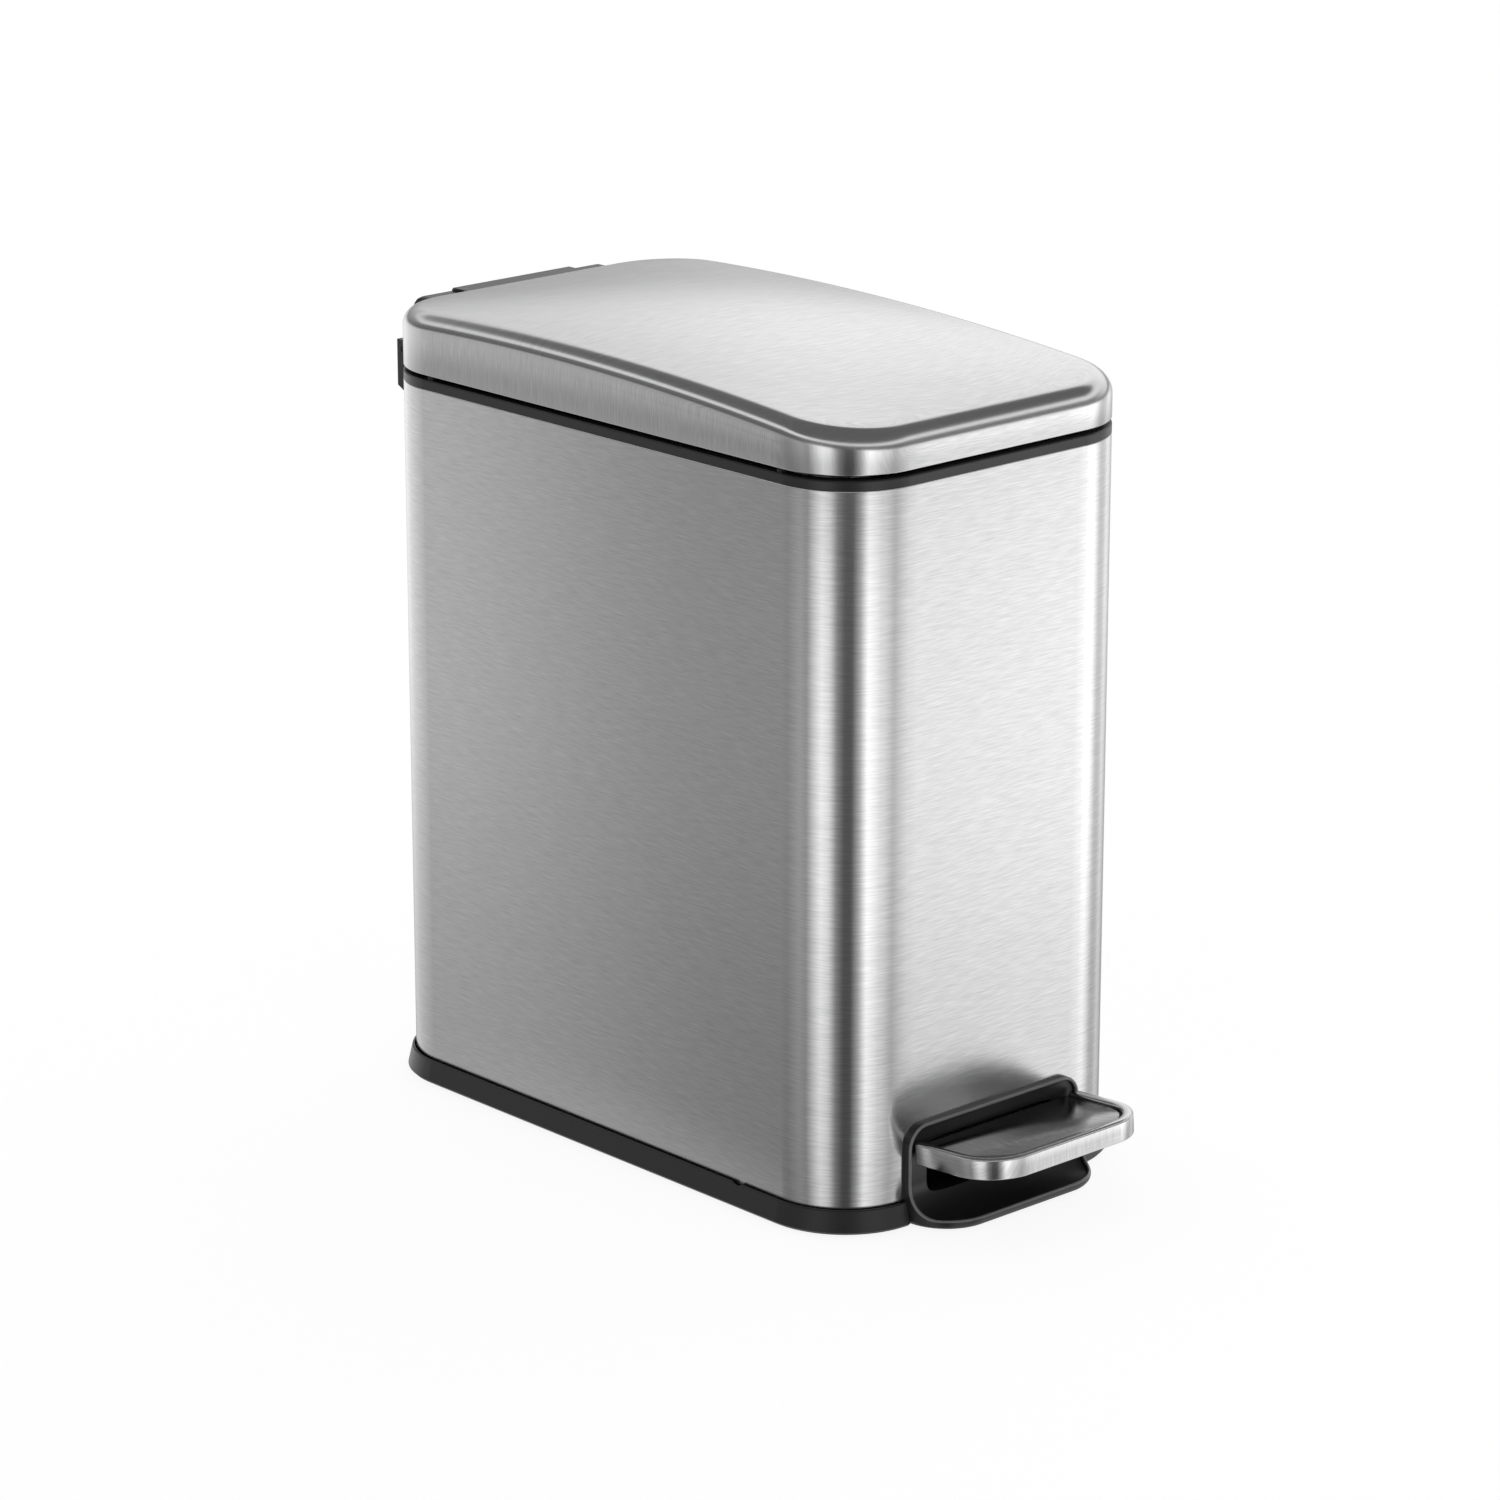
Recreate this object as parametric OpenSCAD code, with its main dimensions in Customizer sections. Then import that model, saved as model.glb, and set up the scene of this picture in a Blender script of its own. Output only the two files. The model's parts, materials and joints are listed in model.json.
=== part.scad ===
// Slim pedal trash can: steel body, soft-close lid, pedal lever with push rod and a lift-out bucket.
// Millimetres, +Z up. The origin is the middle of the ground footprint; the front faces -Y.

/* [Body] */
// Outside width of the steel body
body_w = 140; // [130:1:180]
// Outside depth of the steel body
body_d = 241; // [225:1:300]
// Plan radius of the body's corners
body_r = 29; // [20:1:35]
// Thickness of the steel sheet
steel_t = 0.6; // [0.4:0.1:0.9]
// Height of the body's top edge above the ground
shell_top = 256.1; // [220:1:330]

/* [Base] */
// Height of the base's underside above the ground
base_lift = 1; // [0.5:0.1:1.5]
// Thickness of the base's floor
floor_t = 2; // [1.6:0.1:3]
// Height of the skirt's outer lip above its underside
skirt_h = 8.3; // [7:0.1:12]
// How far the skirt stands out at its top
skirt_out_top = 1.4; // [1.2:0.1:2]
// How far the skirt stands out at its foot
skirt_out_foot = 3; // [2.2:0.1:4]
// Thickness of the base's inner wall
base_wall_t = 2.2; // [1.6:0.1:3]
// Height of the inner wall above the floor
base_wall_h = 11; // [8:0.5:16]
// Radius of a rubber foot
foot_r = 8; // [6:0.5:10]
// How deep a foot sits in the base
foot_seat = 1; // [0.6:0.1:1.2]
// Distance of the feet from the body's sides
foot_inset = 24; // [22:1:34]

/* [Top rim] */
// Height of the rim above the steel edge
rim_h = 3.3; // [2.6:0.1:5]
// Width of the rim's top, inwards
rim_lip = 4.5; // [4:0.1:5]
// Thickness of the rim's leg inside the body
rim_leg_t = 1.85; // [1.4:0.05:2.4]
// Depth of the leg below the steel edge
rim_leg_h = 10; // [8:0.5:14]
// Depth of the bucket shelf below the rim's top
shelf_drop = 6.5; // [6:0.1:9]
// Thickness of the bucket shelf
shelf_t = 1.6; // [1.2:0.1:2.4]

/* [Lid] */
// Gap between the rim's top and the lid's edge
lid_gap = 1.6; // [1.2:0.1:2.4]
// Height of the lid's edge fillet start above the lid's lower edge, at its highest
skirt_rise = 16; // [13:0.5:20]
// Radius of the lengthwise arch of the lid
arch_r = 1362; // [1100:10:2000]
// Distance of the arch's peak behind the body's middle
arch_peak = 35; // [20:1:45]
// Radius of the lid's edge fillet
lid_fillet = 6.4; // [5:0.1:8]
// Extra height of the lid's middle over its edge
lid_crown = 2.6; // [1:0.1:4]
// Width of the hem folded under the lid's edge
hem_w = 2.5; // [2:0.1:3]
// Thickness of the lid liner
liner_t = 1.6; // [1.2:0.1:2.2]
// Height of the liner's panel above the lid's lower edge
liner_rise = 6; // [5:0.1:6.2]
// How far the lid opens, in degrees
lid_open = 80; // [70:1:84]
// Radius of a lid bumper
bumper_r = 1.4; // [1:0.1:1.6]

/* [Hinge] */
// Distance of the hinge axis behind the body
hinge_back = 7.1; // [6.9:0.1:7.6]
// Height of the hinge axis above the rim's top
hinge_rise = 1.3; // [1:0.1:1.6]
// Radius of the hinge pin
hinge_pin_r = 1.5; // [1.2:0.1:1.8]
// Radius of the hinge knuckles
knuckle_r = 3.2; // [2.8:0.1:3.3]
// Distance of the hinge bracket's ends from the body's sides
bracket_side = 21; // [18:1:26]
// Width of one bracket ear
ear_w = 10.8; // [8:0.1:14]
// How far the bracket's back stands behind the axis
bracket_back = 3.5; // [3:0.1:4]
// Height of the bracket's ears over the axis
ear_rise = 3.4; // [3:0.1:3.6]
// Height of the bracket below the axis
bracket_drop = 18; // [16:0.5:24]
// Width of the bracket's middle knuckle
mid_knuckle_w = 38; // [30:1:44]
// How much shorter the hinge cover is than the bracket, at each end
cover_inset = 4; // [3:1:6]
// Width of the cover's raised bar
bar_w = 54; // [44:1:62]
// Height of the cover's shoulders over the axis
cover_rise = 18.3; // [16:0.1:19]
// Height of the raised bar over the shoulders
bar_rise = 1; // [0.6:0.1:1.4]
// Distance of the cover screws from the middle
cover_screw_x = 16; // [12:1:22]
// Distance of the bracket screws from the body's sides
bracket_screw_in = 30; // [28:1:36]

/* [Pedal] */
// Width of the pedal
pedal_w = 77; // [70:1:84]
// How far the pedal stands out in front of the body
pedal_out = 40; // [34:1:46]
// Height of the pedal's top above the ground
pedal_top = 30; // [29:0.1:32]
// Height of the pedal's edge
pedal_h = 7.4; // [7.2:0.1:9]
// Upward tilt of the pedal towards its front, in degrees
pedal_tilt = 4; // [0:0.5:5]
// Plan radius of the pedal's front corners
pedal_r = 17; // [12:0.5:22]
// Width of the ridge round the tread
ridge_w = 4; // [3.5:0.1:5]
// How deep the tread lies under the ridge
tread_drop = 1.2; // [0.8:0.1:1.4]
// Thickness of the tread plate
tread_t = 1.2; // [0.8:0.1:1.4]
// Thickness of the pedal frame's side wall
frame_t = 1.2; // [1:0.1:1.6]
// Width of the groove round the tread
tread_groove = 0.7; // [0.5:0.1:1]
// Distance of a pedal screw from the middle
pedal_screw_x = 16; // [12:1:19]

/* [Lever] */
// Thickness of the lever's steel
lever_t = 2.5; // [2:0.1:3]
// Width of the lever's front plate
lever_front_w = 52; // [46:1:54]
// Width of the lever's long arm
lever_w = 24; // [20:1:26]
// Distance of the lever's axle behind the body's front
axle_in = 50; // [48:1:56]
// Height of the axle above the ground
axle_z = 11.5; // [11:0.5:12.5]
// Radius of the axle
axle_r = 3; // [2.5:0.1:3.4]
// Thickness of the lever's ears
lever_ear_t = 2; // [1.6:0.1:2.4]
// Width of the axle's bearing blocks
block_w = 5; // [4:0.5:7]
// Height of the lever's rear end above the ground, at its middle
lever_rear_z = 5.8; // [5.5:0.1:6.4]

/* [Push rod] */
// Radius of the push rod's wire
rod_r = 2; // [1.8:0.1:2.2]
// Distance of the rod's upright beside the middle
rod_x = 9; // [8.5:0.5:11]
// Length of the crank from the hinge axis to the rod
crank_d = 16; // [15:0.5:17]
// Play on each side of the rod in the lid's crank fork
fork_play = 0.9; // [0.8:0.1:1.1]
// Thickness of the fork's prongs
prong_t = 2.4; // [2:0.1:2.8]
// Thickness of the crank fork and of the lever's rear tab
fork_t = 4; // [3:0.5:5]
// Inside radius of the rod's bends
rod_bend = 2; // [1.5:0.5:3]
// Height of the rod's lower hook above the lever's arm
pin_rise = 6; // [5.6:0.1:6.4]
// Radius of the rod's push-on clips
rod_clip_r = 3.5; // [3.2:0.1:3.6]

/* [Damper] */
// Outside radius of the damper's cylinder
damper_r = 6; // [5.5:0.5:7]
// Distance of the damper beside the middle
damper_x = 21; // [20:1:26]
// Height of the damper's cylinder
damper_h = 64; // [60:1:80]
// Radius of the damper's piston rod
damper_rod_r = 2.5; // [2:0.1:3]

/* [Pedal surround] */
// Width of the pedal surround
surround_w = 81; // [79:1:88]
// Height of the surround's top above the ground
surround_top = 35.5; // [35:0.5:39]
// How far the surround's edge stands out from the body
surround_out = 2.4; // [2.2:0.1:4]
// How far the lip at its foot stands out from the body
lip_out = 19.2; // [17:0.1:21]
// Thickness of the surround's wall
surround_t = 2; // [1.6:0.1:2.4]
// Width of the slot for the lever
slot_w = 62; // [58:1:64]

/* [Bucket] */
// Gap between the bucket's flange and the rim's lip
bucket_gap = 1.5; // [1.2:0.1:2]
// Thickness of the bucket's wall
bucket_t = 1.3; // [1:0.1:2]
// Width of the bucket's flange
bucket_flange = 4; // [3.5:0.1:4.2]
// Height of the bucket's underside above the ground
bucket_bottom = 40; // [39:1:50]
// How much the bucket narrows on each side, from top to bottom
bucket_draft = 4; // [2:0.5:6]
// Plan radius of the bucket's corners
bucket_r = 24; // [18:1:28]
// Radius of the bucket handle's wire
bail_r = 1.5; // [1.2:0.1:1.6]
// Radius of the handle's grip
grip_r = 3; // [2.5:0.1:3.2]
// Length of the handle's grip
grip_l = 40; // [30:1:60]

/* [Fits] */
// Play between two moving parts that pass each other
play = 0.4; // [0.3:0.05:0.5]
// Clearance round the bucket in the deck's opening
deck_play = 0.8; // [0.6:0.1:1]
// Play of a pin that turns in its bore
pin_play = 0.06; // [0.03:0.01:0.1]
// Play between two pieces fixed to each other
seat_play = 0.15; // [0.1:0.01:0.2]
// Radius of the small screws
screw_r = 1.4; // [1.2:0.1:1.6]
// Radius of the small screws' heads
head_r = 2.6; // [2.3:0.1:3]
// Height of the small screws' heads
head_h = 1.7; // [1.4:0.1:2]

/* [Hidden] */
$fn = 96;
hull_fn = 32;
big = 400;
eps = 0.01;
// Plastic left round a small screw
screw_wall = 1.6;
// Play of pieces pressed onto a rod
press_play = 0.02;

STEEL = "#c8c9cb";
BRIGHT = "#d9dadc";
BLACK = "#333334";
RUBBER = "#262626";
GREY = "#5a5b5d";

// Heights
floor_top = base_lift + floor_t;
skirt_top = base_lift + skirt_h;
rim_top = shell_top + rim_h;
shelf_top = rim_top - shelf_drop;
lid_edge = rim_top + lid_gap;
skirt_peak = lid_edge + skirt_rise;

// The body's middle, seen from the middle of the whole footprint
bracket_rear = hinge_back + bracket_back;
body_y = (pedal_out - bracket_rear) / 2;
front_y = -body_d / 2;
rear_y = body_d / 2;
rear_in = rear_y - steel_t;

// Hinge
hinge_y = rear_y + hinge_back;
hinge_z = rim_top + hinge_rise;
bracket_w = body_w - 2 * bracket_side;
ear_in = bracket_w / 2 - ear_w;
cover_w = bracket_w - 2 * cover_inset;
cover_y0 = rear_y + seat_play;
cover_y1 = hinge_y - 0.6;
cover_top = hinge_z + cover_rise;
cover_screw_z = lid_edge + liner_rise + liner_t + screw_r + screw_wall;
bracket_screw_x = body_w / 2 - bracket_screw_in;

// Crank and push rod
half_open = lid_open / 2;
rod_y = hinge_y - crank_d;
// The rod's rise for one radian of the lid: between the crank's true rise at its middle and at its ends
rod_ratio = crank_d * 1.14;
rod_travel = rod_ratio * lid_open * PI / 180;
rod_top_z = hinge_z - rod_travel / 2;
fork_half = rod_r + fork_play;
fork_far = crank_d / cos(half_open) + play;
fork_reach = fork_far + fork_half + prong_t;

// Lever
axle_y = front_y + axle_in;
lever_tip_in = 4;
pedal_gap = 0.8;
pedal_mid_z = pedal_top - pedal_h + 3.2;
lever_tip_y = front_y - pedal_out + lever_tip_in;
knee_ahead = 21.5;
knee_drop = 5.8;
knee_run = 12;
knee_y = axle_y - knee_ahead;
knee_z = pedal_mid_z - knee_drop;
rear_arm = rod_y - axle_y;
rod_foot_z = lever_rear_z + pin_rise;
press_angle = rod_travel / rear_arm * 180 / PI;
lever_tail = 5;
lever_end_y = rod_y + lever_tail;
tab_half = rod_r + play;
// How far the rod's hook slides along the lever's tab over the full press
tab_run = rear_arm * (1 / cos(press_angle) - 1) + 0.1;
tab_wall = 1.2;
// Height of the lever's middle over its axle
lever_over_axle = knee_z + (lever_rear_z - knee_z) * (axle_y - knee_y) / (lever_end_y - knee_y);
ear_out = lever_w / 2;
block_in = ear_out + play;
axle_overhang = 1.6;
axle_half = block_in + block_w + axle_overhang;

// Bucket
bucket_w = body_w - 2 * (rim_lip + bucket_gap + bucket_flange);
bucket_front_y = front_y + rim_lip + bucket_gap + bucket_flange;
bucket_rear_y = hinge_y - fork_reach - bucket_gap - bucket_flange;
bucket_d = bucket_rear_y - bucket_front_y;
bucket_y = (bucket_rear_y + bucket_front_y) / 2;
bucket_seat = 0.1;
flange_z = shelf_top + bucket_seat;
flange_t = 1.5;
bail_z = flange_z + flange_t + play + bail_r;
bail_in = 6.5;
bail_front_y = bucket_front_y + bail_in;
bail_corner = 20;

// Damper
damper_y = rod_y;
damper_seat_t = 3;
damper_wall = 1.5;
damper_foot = floor_top + damper_seat_t;
damper_top = damper_foot + damper_h;
damper_bore = damper_r - damper_wall;
piston_r = damper_bore - pin_play;
yoke_over = 16;
yoke_z = damper_top + yoke_over;
yoke_t = 4;
yoke_r = 5.5;

// ---- Shared shapes ------------------------------------------------------------------------------

// Puts what was drawn round the body's middle into the part's frame
module seat() {
    translate([0, body_y, 0]) children();
}

// A rectangle with round corners, in plan
module round_rect(w, d, r) {
    for (sx = [-1, 1], sy = [-1, 1]) {
        translate([sx * (w / 2 - r), sy * (d / 2 - r)]) circle(r);
    }
    square([w - 2 * r, d], center = true);
    square([w, d - 2 * r], center = true);
}

// The body's outline, moved inwards by a distance
module body_outline(inset) {
    round_rect(body_w - 2 * inset, body_d - 2 * inset, body_r - inset);
}

// Sweeps a profile round the body's outline; the profile's x is the distance outwards
module swept_round() {
    for (q = [0 : 3]) {
        a = q % 2 == 0 ? body_w / 2 : body_d / 2;
        b = q % 2 == 0 ? body_d / 2 : body_w / 2;
        rotate([0, 0, 90 * q]) {
            translate([a, b - body_r, 0]) rotate([90, 0, 0]) linear_extrude(2 * (b - body_r)) children();
            translate([a - body_r, b - body_r, 0])
                rotate_extrude(angle = 90) translate([body_r, 0]) children();
        }
    }
}

// Extrudes a profile drawn in Y and Z along X, from x0 to x1
module along_x(x0, x1) {
    translate([x0, 0, 0]) rotate([90, 0, 90]) linear_extrude(x1 - x0) children();
}

// Extrudes a front view drawn in X and Z along Y, from y0 to y1
module along_y(y0, y1) {
    translate([0, y1, 0]) rotate([90, 0, 0]) linear_extrude(y1 - y0) children();
}

// A round bar along X
module bar_x(r, x0, x1) {
    translate([x0, 0, 0]) rotate([0, 90, 0]) cylinder(r = r, h = x1 - x0);
}

// A round bar along Y
module bar_y(r, y0, y1) {
    translate([0, y1, 0]) rotate([90, 0, 0]) cylinder(r = r, h = y1 - y0);
}

// Points on an arc from angle a0 to a1
function arc(cx, cy, r, a0, a1, n) = [for (i = [0 : n])
    let (a = a0 + (a1 - a0) * i / n) [cx + r * cos(a), cy + r * sin(a)]];

// ---- Body ---------------------------------------------------------------------------------------

surround_cut_x = slot_w / 2 + 4;
surround_cut_top = surround_top - 3;

module outer_shell() {
    seat() color(STEEL) difference() {
        translate([0, 0, floor_top]) linear_extrude(shell_top - floor_top) difference() {
            body_outline(0);
            body_outline(steel_t);
        }
        // Opening behind the pedal surround
        translate([-surround_cut_x, front_y - 1, floor_top - 1])
            cube([2 * surround_cut_x, body_r, surround_cut_top - floor_top + 1]);
        // Holes for the bracket screws
        bracket_screw_places() bar_y(screw_r + seat_play, rear_y - body_r, rear_y + 1);
    }
}

rim_leg_out = steel_t + seat_play;
rim_leg_in = rim_leg_out + rim_leg_t;
rim_edge = 0.4;
ledge_in = rim_lip + 1;
ledge_t = 1.4;
deck_bottom = shelf_top - shelf_t;
deck_screw_x = body_w / 2 - 19;
deck_screw_y = rear_y - 10.5;
deck_boss_r = screw_r + screw_wall + 0.4;
deck_boss_h = 9;
bumper_pocket = 0.8;

module top_rim() {
    seat() color(BLACK) difference() {
        union() {
            swept_round() polygon([
                [0, shell_top], [0, rim_top - rim_edge], [-rim_edge, rim_top], [-rim_lip, rim_top],
                [-rim_lip, rim_top - shelf_t], [-rim_leg_in, rim_top - shelf_t],
                // Ledge that carries the deck
                [-rim_leg_in, deck_bottom], [-ledge_in, deck_bottom], [-ledge_in, deck_bottom - ledge_t],
                [-rim_leg_in, deck_bottom - 2 * ledge_t],
                [-rim_leg_in, shell_top - rim_leg_h], [-rim_leg_out, shell_top - rim_leg_h],
                [-rim_leg_out, shell_top]]);
            // Bosses of the deck's screws
            deck_screw_places() translate([0, 0, -deck_boss_h]) {
                cylinder(r = deck_boss_r, h = deck_boss_h);
                translate([-screw_r - 1, 0, 0])
                    cube([2 * (screw_r + 1), rear_y - deck_screw_y - 4.4, deck_boss_h - ledge_t / 2]);
            }
        }
        fork_notch(guide_post_w + play);
        deck_screw_places() translate([0, 0, -big / 2]) cylinder(r = screw_r + pin_play, h = big);
        bracket_screw_places() bar_y(screw_r + seat_play, rear_y - body_r, rear_y);
        // Gaps in the ledge for the bracket screws' heads
        bracket_screw_places() translate([-head_r - play, rear_y - body_r, -head_r])
            cube([2 * (head_r + play), bracket_head_y + eps - rear_y + body_r, rim_top - shelf_top]);
        bumper_places() cylinder(r = bumper_r, h = big);
    }
}

// Deck over the mechanism: it carries the bucket's flange and guides the push rod
module mechanism_deck() {
    seat() color(GREY) difference() {
        union() {
            translate([0, 0, deck_bottom]) linear_extrude(shelf_t) difference() {
                body_outline(rim_lip + seat_play);
                translate([0, bucket_y])
                    round_rect(bucket_w + 2 * deck_play, bucket_d + 2 * deck_play, bucket_r + deck_play);
            }
            rod_guide(notch_x1, rod_guide_top, rod_guide_top - guide_arm_h, shelf_top);
        }
        fork_notch(0);
        translate([rod_x, rod_y, 0]) cylinder(r = rod_r + pin_play, h = big);
        deck_screw_places() cylinder(r = screw_r + seat_play, h = big);
    }
}

module deck_screw_places() {
    for (s = [-1, 1]) translate([s * deck_screw_x, deck_screw_y, deck_bottom]) children();
}

module deck_screws() {
    seat() color(BRIGHT) deck_screw_places() {
        translate([0, 0, 0.6 - deck_boss_h]) cylinder(r = screw_r, h = deck_boss_h - 0.6 + shelf_t);
        translate([0, 0, shelf_t]) pan_head();
    }
}

// Rubber buffers in the rim, on which the lid comes down
module bumper_places() {
    x = body_w / 2 - rim_edge - bumper_r - 0.3;
    for (sx = [-1, 1], sy = [-1, 1])
        translate([sx * x, sy * (body_d / 2 - body_r - 2 * bumper_r), rim_top - bumper_pocket]) children();
}

module lid_bumpers() {
    seat() color(RUBBER) bumper_places() cylinder(r = bumper_r, h = bumper_pocket + lid_gap - 0.3);
}

guide_arm_h = 6;
guide_post_w = 5;
notch_x0 = -(fork_t / 2 + 6);
notch_x1 = rod_x + rod_r + 2.5;
rod_guide_top = rod_top_z - rod_bend - rod_r - 8;

// Room for the lid's crank fork and the rod's upper hook, and beside them for the guide's post
module fork_notch(post) {
    translate([notch_x0, bucket_rear_y, rod_guide_top + guide_arm_h])
        cube([notch_x1 + post - notch_x0, big, big]);
}

// A post beside the rod, from z0 to z1, with an arm below arm_top that guides the rod
module rod_guide(x0, arm_top, z0, z1) {
    arm_r = rod_r + 3;
    translate([x0, rod_y - arm_r, z0]) cube([guide_post_w, 2 * arm_r, z1 - z0]);
    translate([rod_x, rod_y, arm_top - guide_arm_h]) {
        cylinder(r = arm_r, h = guide_arm_h);
        translate([0, -arm_r, 0]) cube([x0 + eps - rod_x, 2 * arm_r, guide_arm_h]);
    }
}

// ---- Base ---------------------------------------------------------------------------------------

foot_x = body_w / 2 - foot_inset;
foot_y = body_d / 2 - foot_inset;
tower_over = 12;
damper_seat_h = 4;
surround_cut_d = 16;
block_wall = 3.5;

module foot_places() {
    for (sx = [-1, 1], sy = [-1, 1]) translate([sx * foot_x, sy * foot_y, 0]) children();
}

module rubber_feet() {
    edge = 0.5;
    seat() color(RUBBER) foot_places() {
        rotate_extrude() polygon([[0, 0], [foot_r - edge, 0], [foot_r, edge],
                                  [foot_r, base_lift + foot_seat], [0, base_lift + foot_seat]]);
    }
}

module base_tray() {
    wall_out = steel_t + seat_play;
    wall_in = wall_out + base_wall_t;
    lip_in = seat_play + 0.45;
    edge = 1;
    tower_x = rod_x + rod_r + 3;
    tower_z = rod_foot_z + rod_travel + tower_over;
    seat() color(BLACK) difference() {
        union() {
            swept_round() polygon([
                [-wall_in, base_lift], [skirt_out_foot - edge, base_lift], [skirt_out_foot, base_lift + edge],
                [skirt_out_top, skirt_top - 0.3], [skirt_out_top - 0.3, skirt_top], [lip_in, skirt_top],
                [lip_in, floor_top], [-wall_out, floor_top], [-wall_out, floor_top + base_wall_h],
                [-wall_in, floor_top + base_wall_h]]);
            translate([0, 0, base_lift]) linear_extrude(floor_t) body_outline(wall_in - 1);
            // Bearing blocks of the lever's axle
            for (s = [-1, 1]) scale([s, 1, 1]) bearing_block();
            // Tower that guides the rod's lower end
            rod_guide(tower_x, tower_z, base_lift, tower_z);
            // Seat of the damper
            translate([-damper_x, damper_y, base_lift])
                cylinder(r = damper_r + damper_wall, h = damper_foot - base_lift + damper_seat_h);
        }
        // Room for the pedal surround
        translate([-surround_w / 2 - seat_play, front_y - body_r, 0])
            cube([surround_w + 2 * seat_play, body_r + seat_play, big]);
        translate([-surround_cut_x, front_y - 1, floor_top]) cube([2 * surround_cut_x, surround_cut_d, big]);
        foot_places() translate([0, 0, -1]) cylinder(r = foot_r + seat_play, h = base_lift + foot_seat + 1);
        translate([0, axle_y, axle_z]) bar_x(axle_r + pin_play, -body_w, body_w);
        translate([rod_x, rod_y, floor_top + 1]) cylinder(r = rod_r + pin_play, h = big);
        translate([-damper_x, damper_y, damper_foot]) cylinder(r = damper_r + seat_play, h = big);
        surround_screw_places()
            translate([0, 0, base_lift + 0.4]) cylinder(r = screw_r + pin_play, h = floor_t);
    }
}

module bearing_block() {
    half_l = axle_r + block_wall;
    translate([block_in, axle_y - half_l, floor_top - eps])
        cube([block_w, 2 * half_l, axle_z - floor_top + eps]);
    translate([0, axle_y, axle_z]) bar_x(half_l, block_in, block_in + block_w);
}

// ---- Pedal surround -----------------------------------------------------------------------------

tab_t = 2.5;
tab_l = 12;
tab_w = 10;
scoop_foot = 4.5;
scoop_bend = 10;
scoop_nose = 2.5;
scoop_edge_t = 1.2;
dish_bend = 12;
view_corner = 8;
plan_corner = 12;
surround_screw_x = surround_cut_x - 6;
surround_screw_in = 9;

module surround_screw_places() {
    for (s = [-1, 1]) translate([s * surround_screw_x, front_y + surround_screw_in, 0]) children();
}

// Side view of the scoop, in Y and Z: upright above, then curving forwards into the lip
module scoop_side(out, lip, top, foot, bend) {
    cy = front_y - out - bend;
    cz = foot + bend;
    lip_y = front_y - lip;
    polygon(concat([[front_y, base_lift], [front_y, top], [front_y - out, top]],
                   arc(cy, cz, bend, 0, -90, 12),
                   [[lip_y, foot]],
                   arc(lip_y + scoop_nose, base_lift + scoop_nose, scoop_nose, 180, 270, 4)));
}

module surround_view(inset) {
    r = view_corner - inset;
    w = surround_w - 2 * inset;
    top = surround_top - inset;
    translate([-w / 2, -r]) square([w, top]);
    translate([-w / 2 + r, top - r]) circle(r);
    translate([w / 2 - r, top - r]) circle(r);
    translate([-w / 2 + r, top - r - eps]) square([w - 2 * r, r + eps]);
}

module surround_plan(inset) {
    r = plan_corner - inset;
    w = surround_w - 2 * inset;
    y = front_y - lip_out + inset;
    translate([-w / 2 + r, y + r]) circle(r);
    translate([w / 2 - r, y + r]) circle(r);
    translate([-w / 2, y + r]) square([w, lip_out * 2]);
    translate([-w / 2 + r, y]) square([w - 2 * r, lip_out * 2]);
}

module pedal_surround() {
    back_out = surround_out - surround_t;
    floor_z = base_lift + surround_t;
    slot_z0 = 9.5;
    slot_top = pedal_mid_z + lever_t / 2 + 2;
    cut_x = surround_cut_x - seat_play;
    hook = 2.4;
    seat() color(BLACK) difference() {
        union() {
            difference() {
                intersection() {
                    along_x(-surround_w / 2, surround_w / 2)
                        scoop_side(surround_out, lip_out, surround_top, scoop_foot, scoop_bend);
                    along_y(front_y - lip_out, front_y) surround_view(0);
                    linear_extrude(surround_top) surround_plan(0);
                }
                // The dish inside the edge
                intersection() {
                    along_x(-surround_w / 2, surround_w / 2) polygon(concat(
                        [[front_y - big, surround_top], [front_y - back_out, surround_top]],
                        arc(front_y - back_out - dish_bend, floor_z + dish_bend, dish_bend, 0, -90, 12),
                        [[front_y - big, floor_z]]));
                    along_y(front_y - lip_out * 2, front_y) surround_view(scoop_edge_t);
                    linear_extrude(surround_top) surround_plan(scoop_edge_t);
                }
            }
            // Collar that passes through the body's opening
            translate([-cut_x, front_y - eps, floor_top + seat_play])
                cube([2 * cut_x, hook, surround_cut_top - floor_top - 2 * seat_play]);
            // Tabs screwed to the base
            for (s = [-1, 1]) translate([s * surround_screw_x - tab_w / 2, front_y, floor_top])
                cube([tab_w, tab_l + hook, tab_t]);
        }
        // Slot for the lever
        along_y(front_y - 7, front_y + hook + 1) translate([0, (slot_z0 + slot_top) / 2])
            round_rect(slot_w, slot_top - slot_z0, 2);
        surround_screw_places() translate([0, 0, base_lift]) cylinder(r = screw_r + seat_play, h = big);
    }
}

module surround_screws() {
    seat() color(BRIGHT) surround_screw_places() {
        translate([0, 0, base_lift + 0.6]) cylinder(r = screw_r, h = floor_top + tab_t - base_lift);
        translate([0, 0, floor_top + tab_t]) pan_head();
    }
}

module pan_head() {
    difference() {
        cylinder(r = head_r, h = head_h);
        translate([0, 0, head_h - 0.8]) linear_extrude(1) {
            square([head_r * 1.2, 0.7], center = true);
            square([0.7, head_r * 1.2], center = true);
        }
    }
}

// ---- Lever and pedal ----------------------------------------------------------------------------

module lever_axle() {
    groove = 0.5;
    seat() color(BRIGHT) translate([0, axle_y, axle_z]) difference() {
        bar_x(axle_r, -axle_half, axle_half);
        for (s = [-1, 1]) translate([s * (axle_half - 1), 0, 0]) difference() {
            bar_x(axle_r + 1, -0.3, 0.3);
            bar_x(axle_r - groove, -1, 1);
        }
    }
}

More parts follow.
